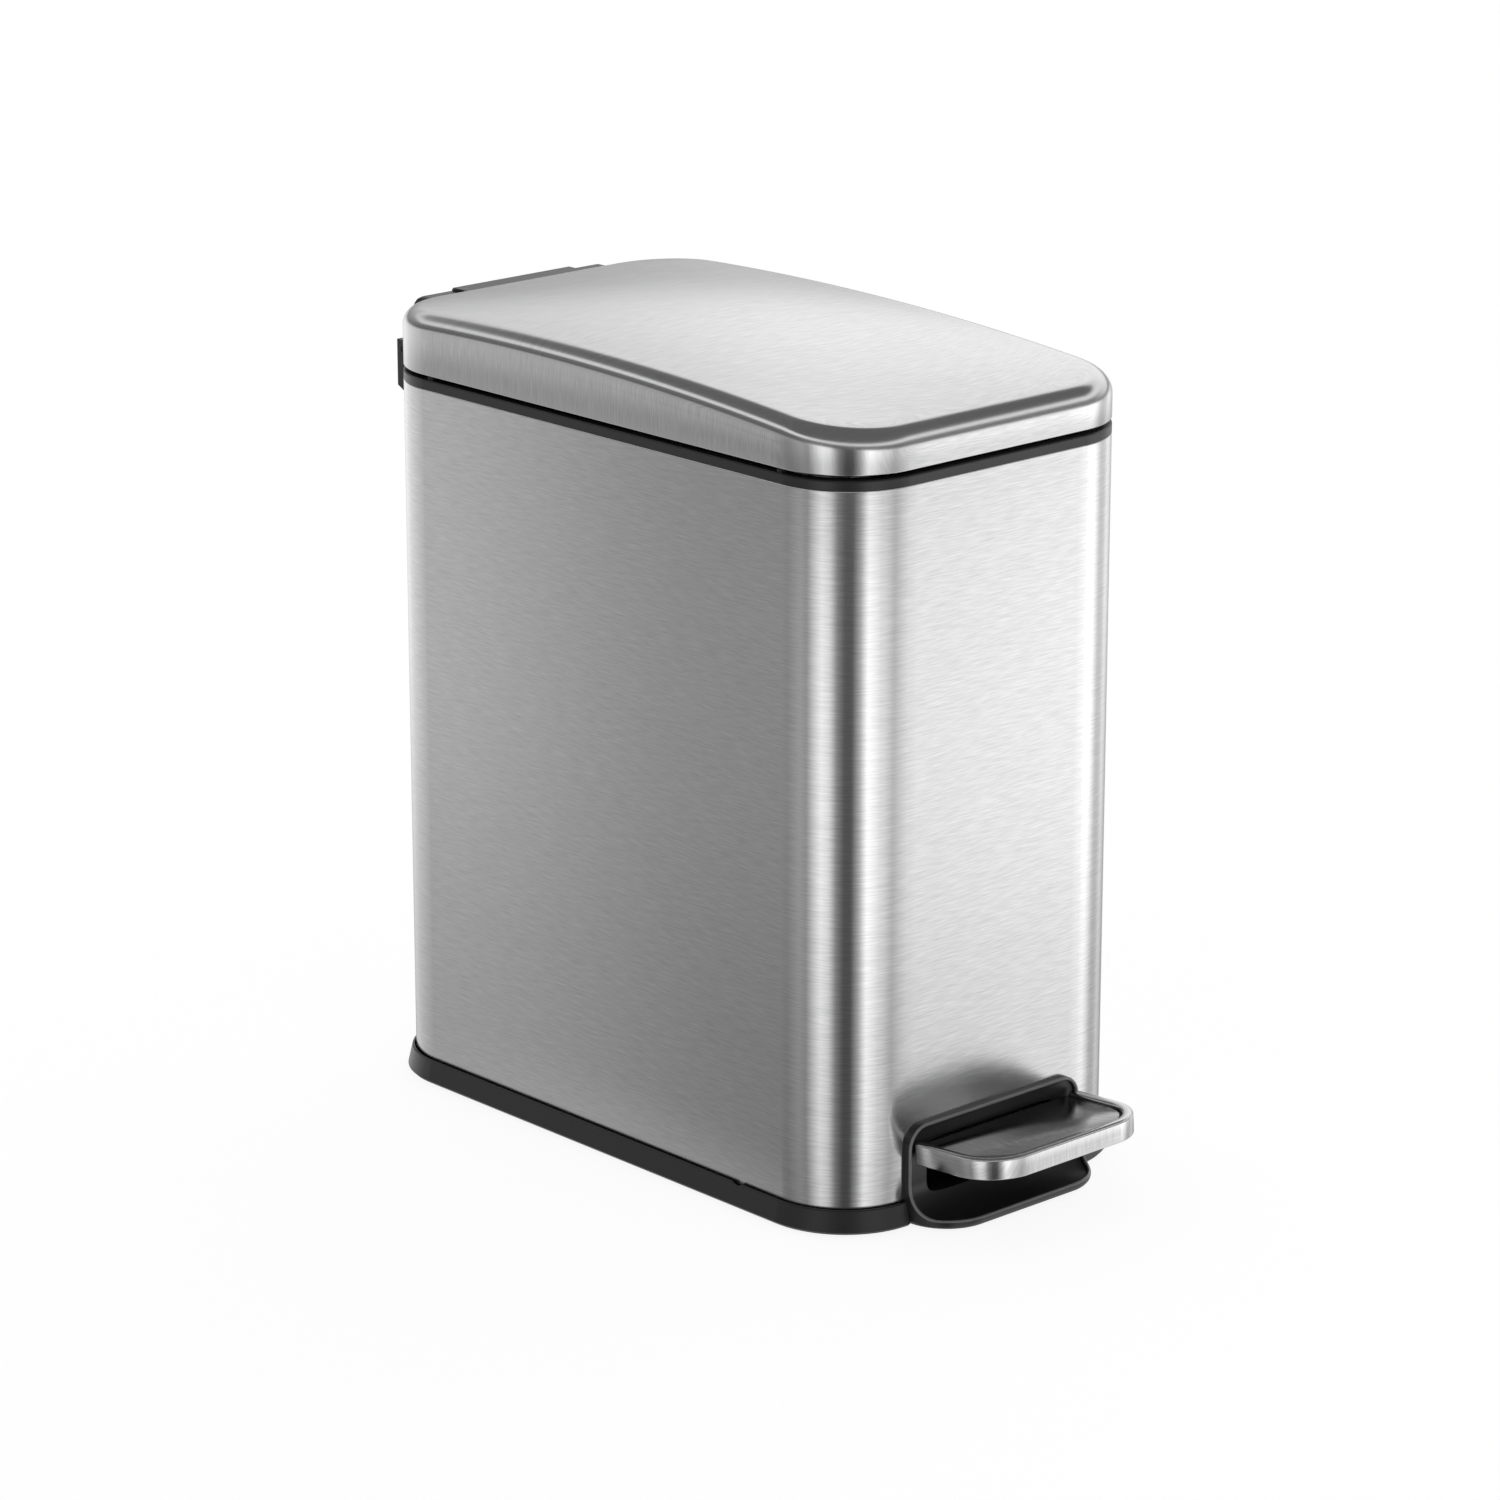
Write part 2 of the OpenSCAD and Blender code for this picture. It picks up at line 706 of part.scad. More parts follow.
module axle_clips() {
    seat() color(STEEL) translate([0, axle_y, axle_z]) for (s = [-1, 1]) {
        translate([s * (axle_half - 1), 0, 0]) difference() {
            bar_x(axle_r + 1.8, -0.25, 0.25);
            bar_x(axle_r - 0.45, -1, 1);
            translate([0, 0, -axle_r * 2]) cube([2, axle_r, axle_r * 3], center = true);
        }
    }
}

// Tilts the pedal's pieces up towards the front, about its lower rear edge
module pedal_tilted() {
    translate([0, pivot_y, pedal_bottom]) rotate([-pedal_tilt, 0, 0])
        translate([0, -pivot_y, -pedal_bottom]) children();
}
function tilted(y, z) = let (dy = y - pivot_y, dz = z - pedal_bottom)
    [pivot_y + dy * cos(pedal_tilt) + dz * sin(pedal_tilt),
     pedal_bottom - dy * sin(pedal_tilt) + dz * cos(pedal_tilt)];

// Side view of the lever, in Y and Z
module lever_side(y0, y1) {
    t = lever_t / 2;
    path = [tilted(lever_tip_y, pedal_mid_z), tilted(knee_y - knee_run, pedal_mid_z), [knee_y, knee_z],
            [lever_end_y, lever_rear_z]];
    intersection() {
        polygon([path[0] - [0, t], path[1] - [0, t], path[2] - [0, t], path[3] - [0, t],
                 path[3] + [0, t], path[2] + [0, t], path[1] + [0, t], path[0] + [0, t]]);
        translate([y0, 0]) square([y1 - y0, big]);
    }
}

module pedal_lever() {
    split_y = knee_y;
    ear_bottom = axle_r + 2.4;
    seat() color(STEEL) difference() {
        union() {
            along_x(-lever_front_w / 2, lever_front_w / 2) lever_side(front_y - big / 2, split_y);
            along_x(-lever_w / 2, lever_w / 2) lever_side(split_y - eps, lever_end_y);
            // Ears that turn on the axle
            for (s = [-1, 1]) scale([s, 1, 1]) along_x(ear_out - lever_ear_t, ear_out) {
                translate([axle_y, axle_z]) circle(ear_bottom);
                translate([axle_y - ear_bottom, axle_z]) square([2 * ear_bottom, lever_over_axle - axle_z]);
            }
            // Rear tab that holds the push rod's lower hook
            along_x(-fork_t / 2, fork_t / 2) {
                translate([rod_y - tab_half - 3, lever_rear_z]) square([2 * tab_half + 3, pin_rise]);
                for (dy = [0, tab_run]) translate([rod_y + dy, rod_foot_z]) circle(tab_half + tab_wall);
                translate([rod_y, rod_foot_z - tab_half - tab_wall])
                    square([tab_run, 2 * (tab_half + tab_wall)]);
            }
        }
        translate([0, axle_y, axle_z]) bar_x(axle_r + pin_play, -body_w, body_w);
        // Slot for the rod's hook, long enough for the lever's swing
        for (dy = [0, tab_run]) translate([0, rod_y + dy, rod_foot_z]) bar_x(tab_half, -fork_t, fork_t);
        translate([-fork_t, rod_y, rod_foot_z - tab_half]) cube([2 * fork_t, tab_run, 2 * tab_half]);
        pedal_tilted() pedal_screw_places() cylinder(r = screw_r + seat_play, h = big);
    }
}

pedal_back = surround_out + pedal_gap;
pivot_y = front_y - pedal_back;
pedal_bottom = pedal_top - pedal_h;
tread_top = pedal_top - tread_drop;
tread_bottom = tread_top - tread_t;
core_bottom = pedal_bottom + 0.6;

// Plan of the pedal, moved inwards at its front and sides by a distance
module pedal_plan(inset) {
    w = pedal_w / 2 - inset;
    r = max(1, pedal_r - inset);
    y0 = front_y - pedal_out + inset;
    y1 = pivot_y;
    translate([-w, y0 + r]) square([2 * w, y1 - y0 - r]);
    translate([-w + r, y0]) square([2 * (w - r), y1 - y0]);
    for (s = [-1, 1]) translate([s * (w - r), y0 + r]) circle(r);
}

// Sweeps a profile round the pedal's sides and front; the profile's x is the distance outwards
module pedal_sweep() {
    w = pedal_w / 2;
    y0 = front_y - pedal_out;
    y1 = pivot_y;
    for (m = [0, 1]) mirror([m, 0, 0]) {
        translate([w, y1, 0]) rotate([90, 0, 0]) linear_extrude(y1 - y0 - pedal_r) children();
        translate([w - pedal_r, y0 + pedal_r, 0]) rotate([0, 0, -90])
            rotate_extrude(angle = 90) translate([pedal_r, 0]) children();
    }
    translate([w - pedal_r, y0, 0]) rotate([0, 0, -90]) rotate([90, 0, 0])
        linear_extrude(2 * (w - pedal_r)) children();
}

module pedal_frame() {
    round_r = 2;
    seat() color(STEEL) pedal_tilted() pedal_sweep() polygon(concat(
        [[-frame_t, pedal_bottom], [0, pedal_bottom]],
        arc(-round_r, pedal_top - round_r, round_r, 0, 90, 6),
        [[-ridge_w + 0.6, pedal_top - 0.5], [-ridge_w, tread_top - 0.2], [-ridge_w, tread_bottom],
         [-frame_t, tread_bottom]]));
}

module pedal_tread() {
    seat() color(STEEL) pedal_tilted() translate([0, 0, tread_bottom]) linear_extrude(tread_t)
        pedal_plan(ridge_w + tread_groove);
}

module pedal_core() {
    seat() color(BLACK) pedal_tilted() difference() {
        translate([0, 0, core_bottom]) linear_extrude(tread_bottom - core_bottom) pedal_plan(frame_t);
        // Pocket for the lever
        translate([-lever_front_w / 2 - seat_play, lever_tip_y - seat_play, pedal_mid_z - lever_t / 2])
            cube([lever_front_w + 2 * seat_play, big, lever_t]);
        pedal_screw_places() cylinder(r = screw_r + seat_play, h = big);
        pedal_screw_places() translate([0, 0, core_bottom - 1]) cylinder(r = head_r + seat_play, h = 1.6);
    }
}

module pedal_screw_places() {
    for (s = [-1, 1]) translate([s * pedal_screw_x, front_y - pedal_out / 2 - 2, 0]) children();
}

module pedal_screws() {
    seat() color(BRIGHT) pedal_tilted() pedal_screw_places() {
        translate([0, 0, core_bottom + 0.6]) cylinder(r = screw_r, h = tread_bottom - core_bottom - 0.6);
        translate([0, 0, core_bottom + 0.6]) mirror([0, 0, 1]) cylinder(r = head_r, h = 0.6);
    }
}

// ---- Push rod -----------------------------------------------------------------------------------

hook_over = 3.2;
hook_end = -(fork_t / 2 + hook_over);
rod_clip_t = 0.8;

// A bend of the rod from straight up to the side, towards -X
module rod_bend_piece() {
    r = rod_bend + rod_r;
    translate([-r, 0, 0]) rotate([90, 0, 0]) rotate_extrude(angle = 90) translate([r, 0]) circle(rod_r);
}

module push_rod() {
    r = rod_bend + rod_r;
    seat() color(STEEL) {
        translate([rod_x, rod_y, rod_foot_z + r]) cylinder(r = rod_r, h = rod_top_z - rod_foot_z - 2 * r);
        translate([rod_x, rod_y, rod_top_z - r]) rod_bend_piece();
        translate([rod_x, rod_y, rod_foot_z + r]) mirror([0, 0, 1]) rod_bend_piece();
        for (z = [rod_foot_z, rod_top_z]) translate([0, rod_y, z]) bar_x(rod_r, hook_end, rod_x - r);
    }
}

module rod_clips() {
    seat() color(BRIGHT) for (z = [rod_foot_z, rod_top_z]) translate([0, rod_y, z]) difference() {
        bar_x(rod_clip_r, hook_end + rod_clip_t, hook_end + 2 * rod_clip_t);
        bar_x(rod_r + press_play, hook_end - 1, 0);
    }
}

// ---- Damper -------------------------------------------------------------------------------------

piston_rod_l = 52;
piston_z = yoke_z - piston_rod_l;
piston_h = 4;
cap_t = 3;

module damper_cylinder() {
    seat() color(GREY) translate([-damper_x, damper_y, damper_foot]) difference() {
        cylinder(r = damper_r, h = damper_h);
        translate([0, 0, cap_t - 1]) cylinder(r = damper_bore, h = damper_h - 2 * cap_t + 1);
        cylinder(r = damper_rod_r + pin_play, h = big);
        translate([0, 0, -eps]) cylinder(r = damper_rod_r + 1, h = 1);
    }
}

module damper_piston() {
    seat() color(BRIGHT) translate([-damper_x, damper_y, 0]) {
        translate([0, 0, piston_z]) cylinder(r = damper_rod_r, h = yoke_z + yoke_t - piston_z);
        translate([0, 0, piston_z]) cylinder(r = piston_r, h = piston_h);
    }
}

module damper_yoke() {
    seat() color(BLACK) difference() {
        translate([0, damper_y, yoke_z]) {
            translate([-damper_x, 0, 0]) cylinder(r = yoke_r, h = yoke_t);
            translate([rod_x, 0, 0]) cylinder(r = yoke_r, h = yoke_t);
            translate([-damper_x, -yoke_r, 0]) cube([damper_x + rod_x, 2 * yoke_r, yoke_t]);
        }
        translate([-damper_x, damper_y, 0]) cylinder(r = damper_rod_r + press_play, h = big);
        translate([rod_x, rod_y, 0]) cylinder(r = rod_r + press_play, h = big);
    }
}

// ---- Hinge --------------------------------------------------------------------------------------

plate_gap = 1.6;
bracket_plate_top = hinge_z - knuckle_r - plate_gap;
bracket_bottom = hinge_z - bracket_drop;
hollow_back = 2;
hollow_z = bracket_bottom + 6.5;

// The bracket's screws also hold the rim's leg
bracket_head_y = rear_in - seat_play - rim_leg_t;

module bracket_screw_places() {
    z = shelf_top - shelf_t - head_r - seat_play;
    for (sx = [-1, 1]) translate([sx * bracket_screw_x, 0, z]) children();
}

// Side view of the bracket's low middle: a plate with a sloped foot
module bracket_side(top, back) {
    polygon([[rear_y, bracket_bottom], [rear_y, top], [rear_y + back, top],
             [rear_y + back, bracket_bottom + 4.8], [rear_y + 0.8, bracket_bottom]]);
}

module hinge_bracket() {
    ear_front = hinge_y - 5;
    seat() color(BLACK) difference() {
        union() {
            along_x(-bracket_w / 2, bracket_w / 2) bracket_side(bracket_plate_top, bracket_rear);
            for (s = [-1, 1]) scale([s, 1, 1]) along_x(ear_in, bracket_w / 2) polygon([
                [rear_y, bracket_bottom + 6], [rear_y, bracket_plate_top], [ear_front, bracket_plate_top + 2],
                [ear_front, hinge_z + ear_rise], [hinge_y + bracket_back, hinge_z + ear_rise],
                [hinge_y + bracket_back, bracket_bottom + 6]]);
            // Middle knuckle on its web
            translate([0, hinge_y, hinge_z]) bar_x(knuckle_r, -mid_knuckle_w / 2, mid_knuckle_w / 2);
            along_x(-mid_knuckle_w / 2, mid_knuckle_w / 2)
                translate([hinge_y - knuckle_r, bracket_plate_top - eps])
                    square([2 * knuckle_r, knuckle_r + plate_gap]);
        }
        translate([0, hinge_y, hinge_z]) bar_x(hinge_pin_r + pin_play / 2, -body_w, body_w);
        // Hollow in the back between the ears
        along_x(-ear_in, ear_in) polygon([
            [rear_y + 2.4, hollow_z], [rear_y + 2.4, bracket_plate_top - 2.2],
            [rear_y + bracket_rear - hollow_back, bracket_plate_top - 2.2],
            [rear_y + bracket_rear - hollow_back, hollow_z]]);
        bracket_screw_places() bar_y(screw_r + pin_play, 0, rear_y + bracket_rear - hollow_back);
    }
}

module bracket_screws() {
    seat() color(BRIGHT) bracket_screw_places() {
        bar_y(screw_r, bracket_head_y, rear_y + bracket_rear - hollow_back - 0.6);
        translate([0, bracket_head_y, 0]) rotate([90, 0, 0]) pan_head();
    }
}

module hinge_pin() {
    seat() color(STEEL) translate([0, hinge_y, hinge_z])
        bar_x(hinge_pin_r, -bracket_w / 2 + 0.5, bracket_w / 2 - 0.5);
}

cover_low = hinge_z + 5.4;
cover_front_h = 14.8;
cover_slope_h = 2.1;
cover_end_r = 5;
cover_end_h = 30;

// Side view of the hinge cover over the body, in Y and Z
module cover_side(bottom, top) {
    edge = 0.8;
    slope_z = hinge_z + cover_front_h;
    polygon([[cover_y0, bottom], [cover_y0, min(top, slope_z)], [rear_y - 0.4, slope_z + cover_slope_h],
             [rear_y - 1.9, top], [cover_y1 - edge, top], [cover_y1, top - edge], [cover_y1, bottom]]);
}

module hinge_cover() {
    low = cover_low;
    end_h = cover_top - low + cover_end_h;
    step = 0.3;
    seat() color(BLACK) difference() {
        union() {
            // Shoulders, with round outer ends
            intersection() {
                along_x(-cover_w / 2, cover_w / 2) cover_side(low, cover_top);
                along_y(front_y, hinge_y) translate([0, cover_top - end_h / 2])
                    round_rect(cover_w, end_h, cover_end_r);
            }
            // Raised bar
            along_x(-bar_w / 2, bar_w / 2) cover_side(low, cover_top + bar_rise);
            // Arms down to the knuckles
            for (s = [-1, 1]) scale([s, 1, 1]) along_x(mid_knuckle_w / 2 + play, ear_in - play) {
                translate([hinge_y, hinge_z]) circle(knuckle_r);
                polygon([[cover_y0, hinge_z + 0.8], [cover_y0, low + step], [cover_y1, low + step],
                         [hinge_y + knuckle_r * 0.8, hinge_z + knuckle_r * 0.6], [hinge_y, hinge_z],
                         [hinge_y - knuckle_r * 0.9, hinge_z + 0.8]]);
            }
        }
        translate([0, hinge_y, hinge_z]) bar_x(hinge_pin_r + pin_play, -body_w, body_w);
        cover_screw_places() {
            bar_y(screw_r + seat_play, 0, hinge_y);
            bar_y(head_r + seat_play, cover_head_y, hinge_y);
        }
    }
}

// Where the cover's screws have their heads, sunk in its back
cover_head_y = cover_y1 - head_h - 0.3;

module cover_screw_places() {
    for (s = [-1, 1]) translate([s * cover_screw_x, 0, cover_screw_z]) children();
}

// ---- Lid ----------------------------------------------------------------------------------------

corner_n = 8;
long_n = 12;
short_n = 4;

function lerp(a, b, t) = a + (b - a) * t;

// Points of the lid's outline in plan, moved inwards by a distance
function lid_corner(sx, sy, a0, inset) = [for (i = [0 : corner_n]) let (a = a0 + 90 * i / corner_n)
    [sx * (body_w / 2 - body_r) + (body_r - inset) * cos(a),
     sy * (body_d / 2 - body_r) + (body_r - inset) * sin(a)]];
function between(p, q, n) = [for (i = [1 : n - 1]) lerp(p, q, i / n)];
function lid_outline(inset) = let (
    c0 = lid_corner(1, -1, -90, inset), c1 = lid_corner(1, 1, 0, inset),
    c2 = lid_corner(-1, 1, 90, inset), c3 = lid_corner(-1, -1, 180, inset))
    concat(c0, between(c0[corner_n], c1[0], long_n), c1, between(c1[corner_n], c2[0], short_n),
           c2, between(c2[corner_n], c3[0], long_n), c3, between(c3[corner_n], c0[0], short_n));

// How far the arch has fallen at a distance along the lid
function arch_fall(y) = arch_r - sqrt(arch_r * arch_r - (y - arch_peak) * (y - arch_peak));
function level_ring(inset, z) = [for (p = lid_outline(inset)) [p[0], p[1], z]];
function arch_ring(inset, z, s) = [for (p = lid_outline(inset))
    let (q = s * p) [q[0], q[1], z - arch_fall(q[1])]];

fillet_n = 7;
crown_n = 7;
outer_rings = concat(
    [level_ring(0, lid_edge)],
    [for (i = [0 : fillet_n]) let (a = 90 * i / fillet_n)
        arch_ring(lid_fillet * (1 - cos(a)), skirt_peak + lid_fillet * sin(a), 1)],
    [for (i = [1 : crown_n - 1]) let (s = 1 - i / crown_n)
        arch_ring(lid_fillet, skirt_peak + lid_fillet + lid_crown * (1 - s * s), s)]);
in_fillet = lid_fillet - steel_t;
in_n = 4;
inner_rings = concat(
    [for (i = [1 : crown_n - 1]) let (s = i / crown_n)
        arch_ring(lid_fillet, skirt_peak + in_fillet + lid_crown * (1 - s * s), s)],
    [for (i = [0 : in_n]) let (a = 90 - 90 * i / in_n)
        arch_ring(steel_t + in_fillet * (1 - cos(a)), skirt_peak + in_fillet * sin(a), 1)],
    [level_ring(steel_t, lid_edge + steel_t), level_ring(hem_w, lid_edge + steel_t),
     level_ring(hem_w, lid_edge)]);

function ring_faces(n, rows) = [for (k = [0 : rows - 2], i = [0 : n - 1]) let (j = (i + 1) % n)
    [k * n + i, (k + 1) * n + i, (k + 1) * n + j, k * n + j]];
function flat_list(rings) = [for (r = rings) each r];

module lid_body() {
    n = len(lid_outline(0));
    outer_n = len(outer_rings);
    rows = outer_n + len(inner_rings);
    points = concat(flat_list(outer_rings), flat_list(inner_rings),
                    [[0, 0, skirt_peak + lid_fillet + lid_crown - arch_fall(0)],
                     [0, 0, skirt_peak + in_fillet + lid_crown - arch_fall(0)]]);
    top = n * rows;
    last_outer = (outer_n - 1) * n;
    first_inner = outer_n * n;
    walls = [for (f = ring_faces(n, rows)) if (f[0] < last_outer || f[0] >= first_inner) f];
    top_cap = [for (i = [0 : n - 1]) [last_outer + i, top, last_outer + (i + 1) % n]];
    in_cap = [for (i = [0 : n - 1]) [top + 1, first_inner + i, first_inner + (i + 1) % n]];
    hem = [for (i = [0 : n - 1]) let (j = (i + 1) % n, b = (rows - 1) * n) [b + i, i, j, b + j]];
    polyhedron(points = points, faces = concat(walls, top_cap, in_cap, hem), convexity = 6);
}

module lid_shell() {
    seat() color(STEEL) difference() {
        lid_body();
        cover_screw_places() bar_y(screw_r + 0.6, rear_y - hem_w, rear_y + 1);
    }
}

liner_out = steel_t + seat_play;
boss_l = 5;

module lid_liner() {
    bottom = lid_edge + steel_t + seat_play;
    panel_z = lid_edge + liner_rise;
    boss_half = screw_r + screw_wall;
    seat() color(BLACK) difference() {
        union() {
            swept_round() polygon([
                [-liner_out, bottom], [-liner_out, panel_z + liner_t],
                [-liner_out - liner_t, panel_z + liner_t], [-liner_out - liner_t, bottom]]);
            translate([0, 0, panel_z]) linear_extrude(liner_t) body_outline(liner_out + liner_t / 2);
            // Bosses that take the cover's screws
            cover_screw_places() translate([-boss_half, rear_y - liner_out - boss_l, panel_z - cover_screw_z])
                cube([2 * boss_half, boss_l, cover_screw_z - panel_z + boss_half - 0.5]);
            crank_fork(panel_z);
        }
        cover_screw_places() bar_y(screw_r + pin_play, 0, body_d);
        fork_slot();
    }
}

// Moves along the crank at rest: x is the distance from the hinge axis, towards the rod
module crank_frame() {
    translate([0, hinge_y, hinge_z]) rotate([half_open, 0, 0]) mirror([0, 1, 0]) children();
}

module fork_slot() {
    crank_frame() {
        translate([-fork_t, 0, -fork_half]) cube([2 * fork_t, fork_far, 2 * fork_half]);
        translate([0, fork_far, 0]) bar_x(fork_half, -fork_t, fork_t);
    }
}

module crank_fork(root_z) {
    outer = fork_half + prong_t;
    difference() {
        union() {
            intersection() {
                crank_frame() {
                    translate([-fork_t / 2, 0, -outer]) cube([fork_t, fork_far, 2 * outer]);
                    translate([0, fork_far, 0]) bar_x(outer, -fork_t / 2, fork_t / 2);
                }
                translate([-fork_t, 0, 0]) cube([2 * fork_t, rear_in - play - 0.2, root_z + eps]);
            }
            // Web up to the liner's panel
            along_x(-fork_t / 2, fork_t / 2) polygon([
                [hinge_y - fork_reach + 3, hinge_z - 9], [hinge_y - fork_reach + 1, root_z + eps],
                [rear_in - 4, root_z + eps], [rear_in - 4, hinge_z - 4]]);
        }
        fork_slot();
    }
}

module cover_screws() {
    seat() color(BRIGHT) cover_screw_places() {
        bar_y(screw_r, rear_y - liner_out - boss_l + 0.6, cover_head_y);
        translate([0, cover_head_y, 0]) rotate([-90, 0, 0]) pan_head();
    }
}

// ---- Bucket -------------------------------------------------------------------------------------

module bucket_solid(inset, z0) {
    thin = 0.1;
    hull() {
        translate([0, bucket_y, flange_z + flange_t - thin]) linear_extrude(thin)
            round_rect(bucket_w - 2 * inset, bucket_d - 2 * inset, bucket_r - inset, $fn = hull_fn);
        translate([0, bucket_y, z0]) linear_extrude(thin)
            round_rect(bucket_w - 2 * (inset + bucket_draft), bucket_d - 2 * (inset + bucket_draft),
                       bucket_r - inset, $fn = hull_fn);
    }
}

// Ears of the handle, on the bucket's side walls
ear_t = 2;
ear_x = bucket_w / 2 - bucket_t + 0.2;

module inner_bucket() {
    ear_r = bail_r + 1.7;
    seat() color(GREY) difference() {
        union() {
            bucket_solid(0, bucket_bottom);
            translate([0, bucket_y, flange_z]) linear_extrude(flange_t)
                round_rect(bucket_w + 2 * bucket_flange, bucket_d + 2 * bucket_flange,
                           bucket_r + bucket_flange);
            for (s = [-1, 1]) scale([s, 1, 1]) along_x(ear_x, ear_x + ear_t) {
                translate([bucket_y, bail_z]) circle(ear_r);
                translate([bucket_y - ear_r, flange_z]) square([2 * ear_r, bail_z - flange_z]);
            }
        }
        difference() {
            bucket_solid(bucket_t, bucket_bottom + bucket_t);
            translate([-body_w, -body_d, flange_z + flange_t]) cube([2 * body_w, 2 * body_d, big]);
        }
        translate([0, bucket_y, flange_z]) linear_extrude(big)
            round_rect(bucket_w - 2 * bucket_t, bucket_d - 2 * bucket_t, bucket_r - bucket_t);
        translate([0, bucket_y, bail_z]) bar_x(bail_r + pin_play, -body_w, body_w);
    }
}

// The handle in plan is a U from its two pivots to the front, drawn from the start of its bends
module bail_handle() {
    wire_x = ear_x - play - bail_r;
    corner_x = wire_x - bail_corner;
    side_l = bucket_y - bail_front_y - bail_corner + bail_r;
    seat() color(BRIGHT) translate([0, bail_front_y + bail_corner, bail_z]) {
        for (m = [0, 1]) mirror([m, 0, 0]) {
            translate([wire_x, 0, 0]) rotate([-90, 0, 0]) cylinder(r = bail_r, h = side_l);
            translate([0, side_l - bail_r, 0]) bar_x(bail_r, wire_x - bail_r, ear_x + ear_t + 0.2);
            translate([corner_x, 0, 0]) rotate([0, 0, -90])
                rotate_extrude(angle = 90) translate([bail_corner, 0]) circle(bail_r);
        }
        translate([0, -bail_corner, 0]) bar_x(bail_r, -corner_x, corner_x);
    }
}

module bail_grip() {
    seat() color(BLACK) translate([0, bail_front_y, bail_z]) difference() {
        bar_x(grip_r, -grip_l / 2, grip_l / 2);
        bar_x(bail_r + press_play, -grip_l, grip_l);
    }
}

outer_shell();
top_rim();
mechanism_deck();
deck_screws();
base_tray();
rubber_feet();
pedal_surround();
surround_screws();
lever_axle();
axle_clips();
pedal_lever();
pedal_core();
pedal_frame();
pedal_tread();
pedal_screws();
push_rod();
rod_clips();
damper_cylinder();
damper_piston();
damper_yoke();
hinge_bracket();
bracket_screws();
hinge_pin();
lid_shell();
lid_liner();
lid_bumpers();
hinge_cover();
cover_screws();
inner_bucket();
bail_handle();
bail_grip();
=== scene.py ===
"""Slim pedal trash can: the visible pieces, their finishes and a plain studio."""

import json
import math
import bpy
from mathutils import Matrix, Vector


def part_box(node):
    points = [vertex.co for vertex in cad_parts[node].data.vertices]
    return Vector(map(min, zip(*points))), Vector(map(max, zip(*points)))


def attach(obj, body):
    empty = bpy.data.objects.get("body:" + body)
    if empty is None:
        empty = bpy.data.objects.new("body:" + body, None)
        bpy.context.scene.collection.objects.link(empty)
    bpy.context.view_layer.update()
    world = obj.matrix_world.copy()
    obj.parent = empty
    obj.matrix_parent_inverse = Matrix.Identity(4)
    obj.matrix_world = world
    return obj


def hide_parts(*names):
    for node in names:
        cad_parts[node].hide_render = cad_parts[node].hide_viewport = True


bl_info = {
    "name": "Slim pedal trash can",
    "version": (1, 0, 0),
    "blender": (4, 5, 0),
    "location": "3D View > Sidebar > Trash can",
    "description": "Dresses the packed pedal trash can in brushed steel, black plastic and rubber",
    "category": "Object",
}

import bpy
from bpy.props import FloatProperty, FloatVectorProperty, PointerProperty

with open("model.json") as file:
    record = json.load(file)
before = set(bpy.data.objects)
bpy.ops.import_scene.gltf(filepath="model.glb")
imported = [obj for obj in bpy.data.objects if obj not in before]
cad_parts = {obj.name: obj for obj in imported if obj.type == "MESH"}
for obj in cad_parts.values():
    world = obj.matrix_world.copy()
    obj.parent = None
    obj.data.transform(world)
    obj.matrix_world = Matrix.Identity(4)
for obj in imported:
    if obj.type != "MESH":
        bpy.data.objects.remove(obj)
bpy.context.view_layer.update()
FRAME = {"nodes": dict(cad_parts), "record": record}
MM = 0.001
QUARTER = [math.radians(degrees) for degrees in (0, 30, 60, 90)]
# A texture space this far off keeps the brushing's coordinates of a lid or pedal in one piece
FAR = 50.0
WHITE = (1.0, 1.0, 1.0, 1.0)

SHELL_LOW, SHELL_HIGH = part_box("outer_shell")
LID_LOW, LID_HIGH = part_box("lid_shell")
FRAME_LOW, FRAME_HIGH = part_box("pedal_frame")
SURROUND_LOW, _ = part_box("pedal_surround")
SCREWS_LOW, SCREWS_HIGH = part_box("surround_screws")
BODY_Y = (SHELL_LOW.y + SHELL_HIGH.y) / 2


# ---- Settings -----------------------------------------------------------------------------------

def length(name, description, default, low=0.0, high=1.0):
    return FloatProperty(name=name, description=description, default=default, min=low, max=high,
                         precision=4, unit="LENGTH")


def colour(name, description, default):
    return FloatVectorProperty(name=name, description=description, default=default, size=3,
                               min=0.0, max=1.0, subtype="COLOR")


def share(name, description, default, high=1.0):
    return FloatProperty(name=name, description=description, default=default, min=0.0, max=high,
                         subtype="FACTOR")


class TrashCanBodySizes(bpy.types.PropertyGroup):
    """Sizes of the steel body"""
    corner: length("Corner radius", "Plan radius of the body's corners", 29 * MM)
    sheet: length("Sheet", "Thickness of the steel sheet", 0.6 * MM)
    lip: length("Rolled lip", "Radius of the rolled upper and lower edges", 0.45 * MM)
    opening: length("Opening", "Half width of the opening behind the pedal surround", 35 * MM)
    opening_top: length("Opening top", "Height of the opening above the ground", 32.5 * MM)


class TrashCanLidSizes(bpy.types.PropertyGroup):
    """Sizes of the lid"""
    fillet: length("Fillet", "Radius of the lid's upper edge", 6.4 * MM)
    crown: length("Crown", "Extra height of the lid's middle over its edge", 2.6 * MM)
    skirt: length("Skirt", "Height of the lid's side at its highest", 16 * MM)
    arch: length("Arch", "Radius of the lengthwise arch", 1362 * MM, high=3.0)
    peak: length("Peak", "Distance of the arch's peak behind the body's middle", 35 * MM)
    hem: length("Hem", "Width of the hem folded under the edge", 2.5 * MM)


